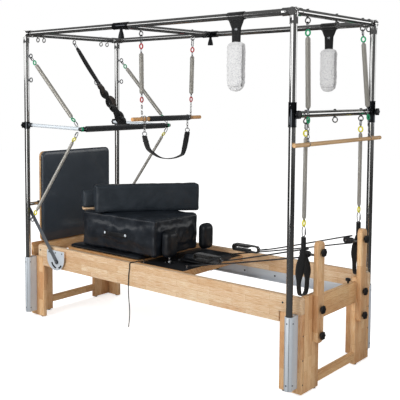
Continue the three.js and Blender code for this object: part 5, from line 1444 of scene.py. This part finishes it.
def make_hand_loop(side):
    name = side_names[side]
    y = side * 0.218
    x0, x1, z0, z1 = 0.262, 0.4669, 0.606, 0.652
    strap, wide = 0.005, 0.056
    outline = rounded(x0 + strap / 2, x1 - strap / 2, z0 + strap / 2, z1 - strap / 2,
                      (z1 - z0 - strap) / 2 - gap, 8)
    points = smooth_path([(a, y, b) for a, b in outline], 3, closed=True)
    narrow = np.clip((points[:, 0] - (x1 - 0.070)) / 0.055, 0, 1)
    parts = [ribbon("webbing", points, (0, 1, 0), wide - 0.022 * narrow, strap, closed=True)]
    for z in (z0 + 0.0085, z1 - 0.0085):
        padded = [(x0 + 0.022 + 0.104 * s, y, z) for s in np.linspace(0, 1, 12)]
        parts.append(ribbon("webbing", padded, (0, 1, 0), wide + 0.004, 0.017, soft=0.5))
    parts.append(upright_ring("steel", x1 - 0.008, y, (z0 + z1) / 2, 0.036, 0.009, 0.0022))
    for z in (z0 + strap + 0.0006, z1 - strap - 0.0006):
        parts.append(box("webbing", x1 - 0.060, x1 - 0.030, y - 0.009, y + 0.009, z - 0.0012, z + 0.0012,
                         0.0008))
    piece("hand_loop_looks_" + name, "carriage", parts, ["hand_loop_" + name], 50)


# Push bar, which swings on the foot posts with its springs and safety strap
def make_push_bar():
    parts = []
    for side in (front, back):
        y = side * push_arm_y
        pivot = (-post_x, y, push_z)
        bar = (push_bar_x, y, push_bar_z)
        parts.append(pipe("pale_tube", pivot, bar, 0.0125, 28))
        ends = barrel(0.020, 0.0075, 0.0145, 0.016, 0.001, -0.010)
        parts.append(turned("gloss_black", pivot, (0, 1, 0), ends, 32))
        parts.append(turned("gloss_black", bar, (0, 1, 0), ends, 32))
        parts.append(screw((push_bar_x, y, push_bar_z + 0.0158), (0, 0, 1), 0.0035, 0.002, "steel"))
        parts.append(turned("green", (push_bar_x, side * 0.462, push_bar_z), (0, side, 0),
                            barrel(0.008, 0.0128, 0.0158, 0.0165, 0.001), 32))
    bar_half, grip_half = 0.4906, 0.425
    ends = [(push_bar_x, y, push_bar_z) for y in (-bar_half, bar_half)]
    parts.append(pipe("chrome", *ends, 0.0125, 32))
    grip = barrel(2 * grip_half, 0.0128, 0.0192, 0.021, 0.0025)
    parts.append(turned("foam", (push_bar_x, -grip_half, push_bar_z), (0, 1, 0), grip, 36))
    piece("push_bar_looks", "push_bar_body", parts, ["push_bar"])


def joined(name, parts, node):
    """A piece stretched between the frame and the push bar."""
    obj = piece(name, None, parts, [node], 50)
    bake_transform(obj)


def make_push_springs():
    upper = [("snap", hook_len, "dark_steel"), ("ring", ring_len, "green"), ("spring", None, None),
             ("ring", ring_len, "green"), ("snap", hook_len + 0.004, "steel")]
    lower = [("snap", hook_len, "steel"), ("ring", ring_len, "yellow"), ("spring", None, None),
             ("ring", ring_len, "yellow"), ("snap", hook_len + 0.004, "steel")]
    kinds = (("upper", upper, coil_r, post_eye_zs[0], -1), ("lower", lower, 0.0095, post_eye_zs[-1], 1))
    for side in (front, back):
        y = side * post_y
        for kind, items, spring_r, eye_z, way in kinds:
            start = (post_eye_x, y, eye_z + way * eye_grab)
            stop = (push_bar_x - bar_grab, y, push_bar_z - way * bar_grab)
            joined(f"push_spring_looks_{kind}_{side_names[side]}", hung(start, stop, items, spring_r),
                   f"push_spring_{kind}_{side_names[side]}")


def make_safety_strap():
    """A strap from the end beam to the foam bar, its spare length folded up in a bundle lower down."""
    start, stop = np.array([-post_x, 0, hang_z]), np.array([-0.5762, 0, 1.4462])
    ahead = unit(stop - start)
    lift = unit(np.cross((0, 1, 0), ahead))
    total = np.linalg.norm(stop - start)
    parts = hung(start, start + ahead * 0.050, [("snap", 0.050, "steel")])
    marks = np.linspace(0.046, total - 0.001, 26)
    across = unit(np.array([0.35, 1, 0]))
    parts.append(ribbon("webbing", [start + ahead * m for m in marks], across, [0.022] + [0.034] * 25,
                        0.0048))
    upper = [start + ahead * m + lift * 0.0072 * math.sin((m - 0.06) / 0.36 * math.pi)
             for m in np.linspace(0.06, 0.42, 14)]
    parts.append(ribbon("webbing", upper, across, 0.033, 0.0044))
    for k in range(14):
        at, length = 0.400 + 0.029 * k, 0.082 + 0.014 * (k % 3)
        length = min(length, total - 0.012 - at)
        bulge = (0.024, -0.020, 0.027, -0.024, 0.017, -0.027, 0.021)[k % 7]
        aside = (0.011, -0.014, 0.004, -0.008, 0.013)[k % 5]
        share = np.linspace(0, 1, 13)
        lifts = bulge * np.sin(math.pi * share) ** 0.7
        fold = [start + ahead * (at + length * s) + lift * up + (0, aside, 0) for s, up in zip(share, lifts)]
        turn = unit(np.array([0.3 * (k % 3), 1, 0.25 * (k % 2)]))
        parts.append(ribbon("brown_webbing" if k % 4 == 1 else "webbing", fold, turn, 0.031, 0.0050))
    for at, wide in ((0.082, 0.018), (0.405, 0.026), (0.425, 0.028), (0.62, 0.022)):
        parts.append(oval("steel", start + ahead * at, ahead, np.array([0, 1.0, 0]), 0.030, wide, 0.0024))
    parts.append(oval("steel", start + ahead * 0.392 + lift * 0.014, ahead, lift, 0.046, 0.021, 0.0032))
    low_turn = [np.array([push_bar_x, 0, push_bar_z]) + 0.0235 * np.array([math.cos(a), 0, math.sin(a)])
                for a in np.linspace(math.radians(165), math.radians(70), 9)]
    parts.append(ribbon("webbing", low_turn, (0, 1, 0), 0.036, 0.0055))
    joined("safety_strap_looks", parts, "safety_strap")


# Trapeze: its crossbar rolls along the long beams
def make_trapeze():
    parts = []
    for side in (front, back):
        y = side * post_y
        parts.append(sleeve("gloss_black", (trapeze_x - sleeve_reach + 0.001, y, top_z),
                            (trapeze_x + sleeve_reach - 0.001, y, top_z), sleeve_r))
        a, b = (trapeze_x, side * neck_out_y, top_z), (trapeze_x, side * neck_in_y, top_z)
        parts.append(sleeve("gloss_black", a, b, side_sleeve_r))
        parts.append(turned("black", (trapeze_x, y, top_z), (0, 0, -1),
                            [(0.0200, 0.0), (0.0200, 0.0100), (0.034, 0.0105), (0.040, 0.0130),
                             (0.058, 0.0175), (0.070, 0.0195), (0.078, 0.0200), (0.080, 0.0185),
                             (0.080, 0.0)], 24))
        parts.append(screw((trapeze_x, side * neck_screw_y, top_z - side_screw_seat), (0, 0, -1), 0.0042,
                           0.003, "steel"))
        parts.append(screw((trapeze_x + side_screw_seat, side * neck_screw_y, top_z), (1, 0, 0), 0.0042,
                           0.003, "steel"))
    parts.append(pipe("chrome", (trapeze_x, -cross_half, top_z), (trapeze_x, cross_half, top_z), tube_r, 40))
    spring_ys = {front: (-0.291, -0.281), back: (0.270, 0.252)}
    for eye_y, _ in spring_ys.values():
        parts += eyebolt(trapeze_x, eye_y, top_z)
    piece("trapeze_crossbar_looks", "trapeze_crossbar_body", parts, ["trapeze_crossbar"])
    for side, (top_y, low_y) in spring_ys.items():
        items = [("snap", 0.058, "steel"), ("ring", ring_len, "red"), ("chain", 0.022, "steel"),
                 ("spring", None, None), ("chain", 0.016, "steel"), ("ring", ring_len, "red"),
                 ("chain", 0.100, "chrome")]
        parts = hung((trapeze_x, top_y, hang_z), (trapeze_x, low_y, 1.5303), items, coil_r + 0.0012)
        parts.append(upright_ring("steel", trapeze_x, low_y, dowel_z + 0.003, 0.034, 0.0166, 0.0018))
        piece("trapeze_spring_looks_" + side_names[side], "trapeze_body", parts,
              ["trapeze_spring_" + side_names[side]], 50)
    bar = barrel(0.744, 0, 0.011, 0.013, 0.0015)
    grip = barrel(0.446, 0.0131, 0.0178, 0.019, 0.002)
    parts = [turned("dowel_wood", (trapeze_x, -0.380, dowel_z), (0, 1, 0), bar, 32)]
    parts.append(turned("foam", (trapeze_x, -0.211, dowel_z), (0, 1, 0), grip, 32))
    piece("trapeze_bar_looks", "trapeze_body", parts, ["trapeze_bar"])


def make_sling():
    line = [(-0.254, 1.402), (-0.250, 1.386), (-0.240, 1.362), (-0.222, 1.322), (-0.193, 1.294),
            (-0.106, 1.250), (-0.020, 1.232), (0.068, 1.232), (0.142, 1.246), (0.166, 1.262), (0.188, 1.318),
            (0.206, 1.382), (0.214, 1.412)]
    path = smooth_path([(trapeze_x, y, z) for y, z in line], 6)
    run = lengths(path) / lengths(path)[-1]
    wide = 0.020 + 0.026 * np.clip(np.abs(run - 0.52) / 0.3, 0, 1) ** 1.5
    parts = [ribbon("webbing", path, (1, 0, 0), wide, 0.0065)]
    for i in (9, 14, 62, 66):
        parts.append(ribbon("webbing", path[i:i + 3], (1, 0, 0), wide[i] + 0.0015, 0.0095))
    parts.append(ribbon("steel", path[11:13], (1, 0, 0), wide[11] + 0.006, 0.0110))
    for y, top in (line[0], line[-1]):
        parts.append(upright_ring("steel", trapeze_x, y, dowel_z, 0.045, 0.0228, 0.003, sides=12, steps=40))
        parts += hung((trapeze_x, y, dowel_z - 0.018), (trapeze_x, y, top + 0.026),
                      [("chain", None, "chrome")])
        parts.append(upright_ring("steel", trapeze_x, y, top + 0.014, 0.034, 0.0215, 0.0028, sides=10,
                                  steps=32))
    piece("sling_looks", "sling_body", parts, ["sling"], 60)


# Tower crossbar with its loop springs and the roll-down bar
def make_tower():
    parts = []
    for side in (front, back):
        y = side * post_y
        parts.append(sleeve("gloss_black", (post_x, y, tower_z - sleeve_reach),
                            (post_x, y, tower_z + sleeve_reach), sleeve_r))
        parts.append(sleeve("gloss_black", (post_x, side * neck_out_y, tower_z),
                            (post_x, side * neck_in_y, tower_z), side_sleeve_r))
        parts += star_knob(post_x + sleeve_r, y, tower_z, head)
        for z in (tower_z - 0.05, tower_z + 0.05):
            parts.append(screw((post_x, y + side * screw_seat, z), (0, side, 0), 0.0036, 0.0022, "steel"))
        parts.append(screw((post_x + side_screw_seat, side * neck_screw_y, tower_z), (1, 0, 0), 0.0042, 0.003,
                           "steel"))
    parts.append(pipe("chrome", (post_x, -cross_half, tower_z), (post_x, cross_half, tower_z), tube_r, 40))
    for y in (-loop_y, 0, loop_y):
        parts += eyebolt(post_x, y, tower_z)
    piece("tower_crossbar_looks", "tower_crossbar_body", parts, ["tower_crossbar"])


def make_loop_spring(side):
    name = side_names[side]
    top_y, low_y = side * loop_y, -0.342 if side == front else loop_y
    items = [("snap", hook_len, "steel"), ("ring", ring_len, "yellow"), ("spring", None, None),
             ("ring", ring_len, "yellow"), ("snap", 0.062, "steel")]
    swivel_z, strap_top, strap_low, strap_half, strap_mid = 0.884, 0.805, 0.548, 0.0475, 0.0025
    parts = hung((post_x, top_y, tower_z - 0.047), (post_x, low_y, swivel_z), items, 0.0102)
    parts.append(upright_ring("steel", post_x, low_y, swivel_z - 0.006, 0.026, 0.0155, 0.0024))
    tab = [(post_x, low_y, z) for z in (swivel_z, 0.872, 0.84, strap_top + 0.001)]
    parts.append(ribbon("webbing", tab, (1, 0, 0), 0.030, 0.010))
    wide_shares = [0.42, 0.82, 1, 1, 0.86, 0.58]
    high_shares = [0.84, 0.62, 0.42, 0.24, 0.10, 0.03]
    tall = strap_top - strap_low - 2 * strap_mid
    half = strap_half - strap_mid
    near = [(-w * half, strap_low + strap_mid + h * tall) for w, h in zip(wide_shares, high_shares)]
    far = [(-a, b) for a, b in reversed(near)]
    line = [(0, strap_top - strap_mid), *near, (0, strap_low + strap_mid), *far]
    path = smooth_path([(post_x, low_y + a, b) for a, b in line], 6, closed=True)
    widening = np.clip((path[:, 2] - 0.625) / 0.075, 0, 1)
    narrowing = np.clip((path[:, 2] - 0.735) / 0.065, 0, 1)
    wide = 0.028 + 0.025 * (0.5 - 0.5 * np.cos(math.pi * widening)) - 0.023 * narrowing
    parts.append(ribbon("webbing", path, (1, 0, 0), wide, 0.0048, closed=True))
    for way in (-1, 1):
        near_side = [k for k in range(len(path))
                     if (path[k][1] - low_y) * way > 0.012 and 0.57 < path[k][2] < 0.775]
        near_side.sort(key=lambda k: path[k][2])
        sheet = [path[k] for k in near_side]
        parts.append(ribbon("webbing", sheet, (1, 0, 0), [wide[k] + 0.001 for k in near_side], 0.0058,
                            soft=0.5))
    piece("spring_loop_looks_" + name, "loop_" + name, parts, ["spring_loop_" + name], 50)


def make_roll_down():
    for side in (front, back):
        name = side_names[side]
        items = [("snap", hook_len, "steel"), ("ring", ring_len, "green"), ("spring", None, None),
                 ("chain", 0.040, "steel"), ("ring", ring_len, "green"), ("chain", 0.104, "steel")]
        parts = hung((post_x, side * eye_end_y, hang_z), (roll_bar_x, side * roll_spring_y, 1.4223), items)
        parts.append(upright_ring("steel", roll_bar_x, side * roll_spring_y, roll_bar_z + 0.002, 0.034,
                                  0.0155, 0.0018))
        piece("roll_spring_looks_" + name, "roll_down", parts, ["roll_spring_" + name], 50)
    bar = barrel(1.060, 0, 0.010, 0.012, 0.0015)
    parts = [turned("bar_wood", (roll_bar_x, -0.530, roll_bar_z), (0, 1, 0), bar, 32)]
    piece("roll_down_bar_looks", "roll_down", parts, ["roll_down_bar"])


# Fleece loops that hang over the long beams
def make_fleece_loop(side, x):
    name = side_names[side]
    y = side * post_y
    low, high, half_y, wall, wide = 1.700, 1.985, 0.031, 0.020, 0.116
    inset = wall / 2
    outline = rounded(y - half_y + inset, y + half_y - inset, low + inset, high - inset,
                      half_y - inset - 0.0005, 10)
    line = [(x, a, b) for a, b in outline]
    tall = [(x, y + half_y - inset, z) for z in np.linspace(low + 0.04, high - 0.04, 22)]
    far = [(x, 2 * y - a, b) for _, a, b in reversed(tall)]
    line = line[:11] + tall + line[11:33] + far + line[33:]
    path = np.array(line)
    band = ribbon("fleece", path, (1, 0, 0), wide, wall, closed=True, soft=0.45)
    parts = [fluffed(softened(band, (x, y), (wide / 2, half_y), low, high))]
    wrap_r = tube_r + 0.0023
    wrap_mid = wrap_r + 0.0010
    turns = [math.radians(336 * i / 32 - 156) for i in range(33)]
    ring = [(x, y + wrap_mid * math.cos(a), top_z + wrap_mid * math.sin(a)) for a in turns]
    parts.append(ribbon("webbing", ring, (1, 0, 0), 0.112, 0.0019))
    neck = [(x, y, z) for z in (high - 0.012, high + 0.03, top_z - 0.07, top_z - 0.045,
                                top_z - wrap_r - 0.001)]
    parts.append(ribbon("webbing", neck, (1, 0, 0), [0.058, 0.060, 0.064, 0.086, 0.106], 0.0074))
    for face in (front, back):
        parts.append(turned("steel", (x, y + face * 0.0036, top_z - 0.075), (0, face, 0),
                            [(-0.001, 0.0055), (0.0006, 0.0085), (0.0014, 0.0070), (0.0008, 0.0040),
                             (0.0002, 0.0038), (0.0002, 0.0)], 20))
    obj = piece("fleece_looks_" + name, "fleece_" + name, parts, ["fleece_loop_" + name], 60)


def softened(band, middle, half, low, high, foot_rise=0.075, top_rise=0.035):
    """Draws a boxy loop in to a rounded one: its upright corners, its foot and its top."""
    points = band["points"]
    away = (points[:, :2] - middle) / half
    foot_deep = np.clip((low + foot_rise - points[:, 2]) / foot_rise, 0, 1)
    top_deep = np.clip((points[:, 2] - high + top_rise) / top_rise, 0, 1)
    flat = np.abs(np.column_stack([away, np.maximum(foot_deep, top_deep)]))
    share = flat.max(1) / np.maximum((flat ** 2.4).sum(1) ** (1 / 2.4), 1e-9)
    points[:, :2] = middle + away * half * share[:, None]
    points[:, 2] += foot_rise * foot_deep * (1 - share) - top_rise * top_deep * (1 - share)
    return band


def fluffed(band):
    """Uneven tufts on a strap's faces."""
    points = band["points"]
    for i, spot in enumerate(points):
        shift = np.array(noise.noise_vector(Vector(spot) * 70)) * 0.0034
        points[i] = spot + shift + np.array(noise.noise_vector(Vector(spot) * 210)) * 0.0012
    return band


for long_side in (front, back):
    make_rail(long_side)
    make_riser(long_side)
    make_long_beam(long_side)
    make_footbar_plate(long_side)
    make_rope(long_side)
    make_hand_loop(long_side)
    make_loop_spring(long_side)
    for short_end in (foot, head):
        make_leg(short_end, long_side)
        make_post(short_end, long_side)
for short_end in (foot, head):
    make_end_beam(short_end)
make_end_board_head()
for board_node in ("end_board_foot", "stretcher_head", "stretcher_foot", "jump_board_back"):
    dress_board(board_node, "wood_y")
make_jump_pad()
make_footbar()
make_deck()
make_wheels(foot)
make_wheels(head)
make_carriage_pads()
make_boxes()
make_push_bar()
make_push_springs()
make_safety_strap()
make_trapeze()
make_sling()
make_tower()
make_roll_down()
make_fleece_loop(front, 0.750)
make_fleece_loop(back, 0.815)
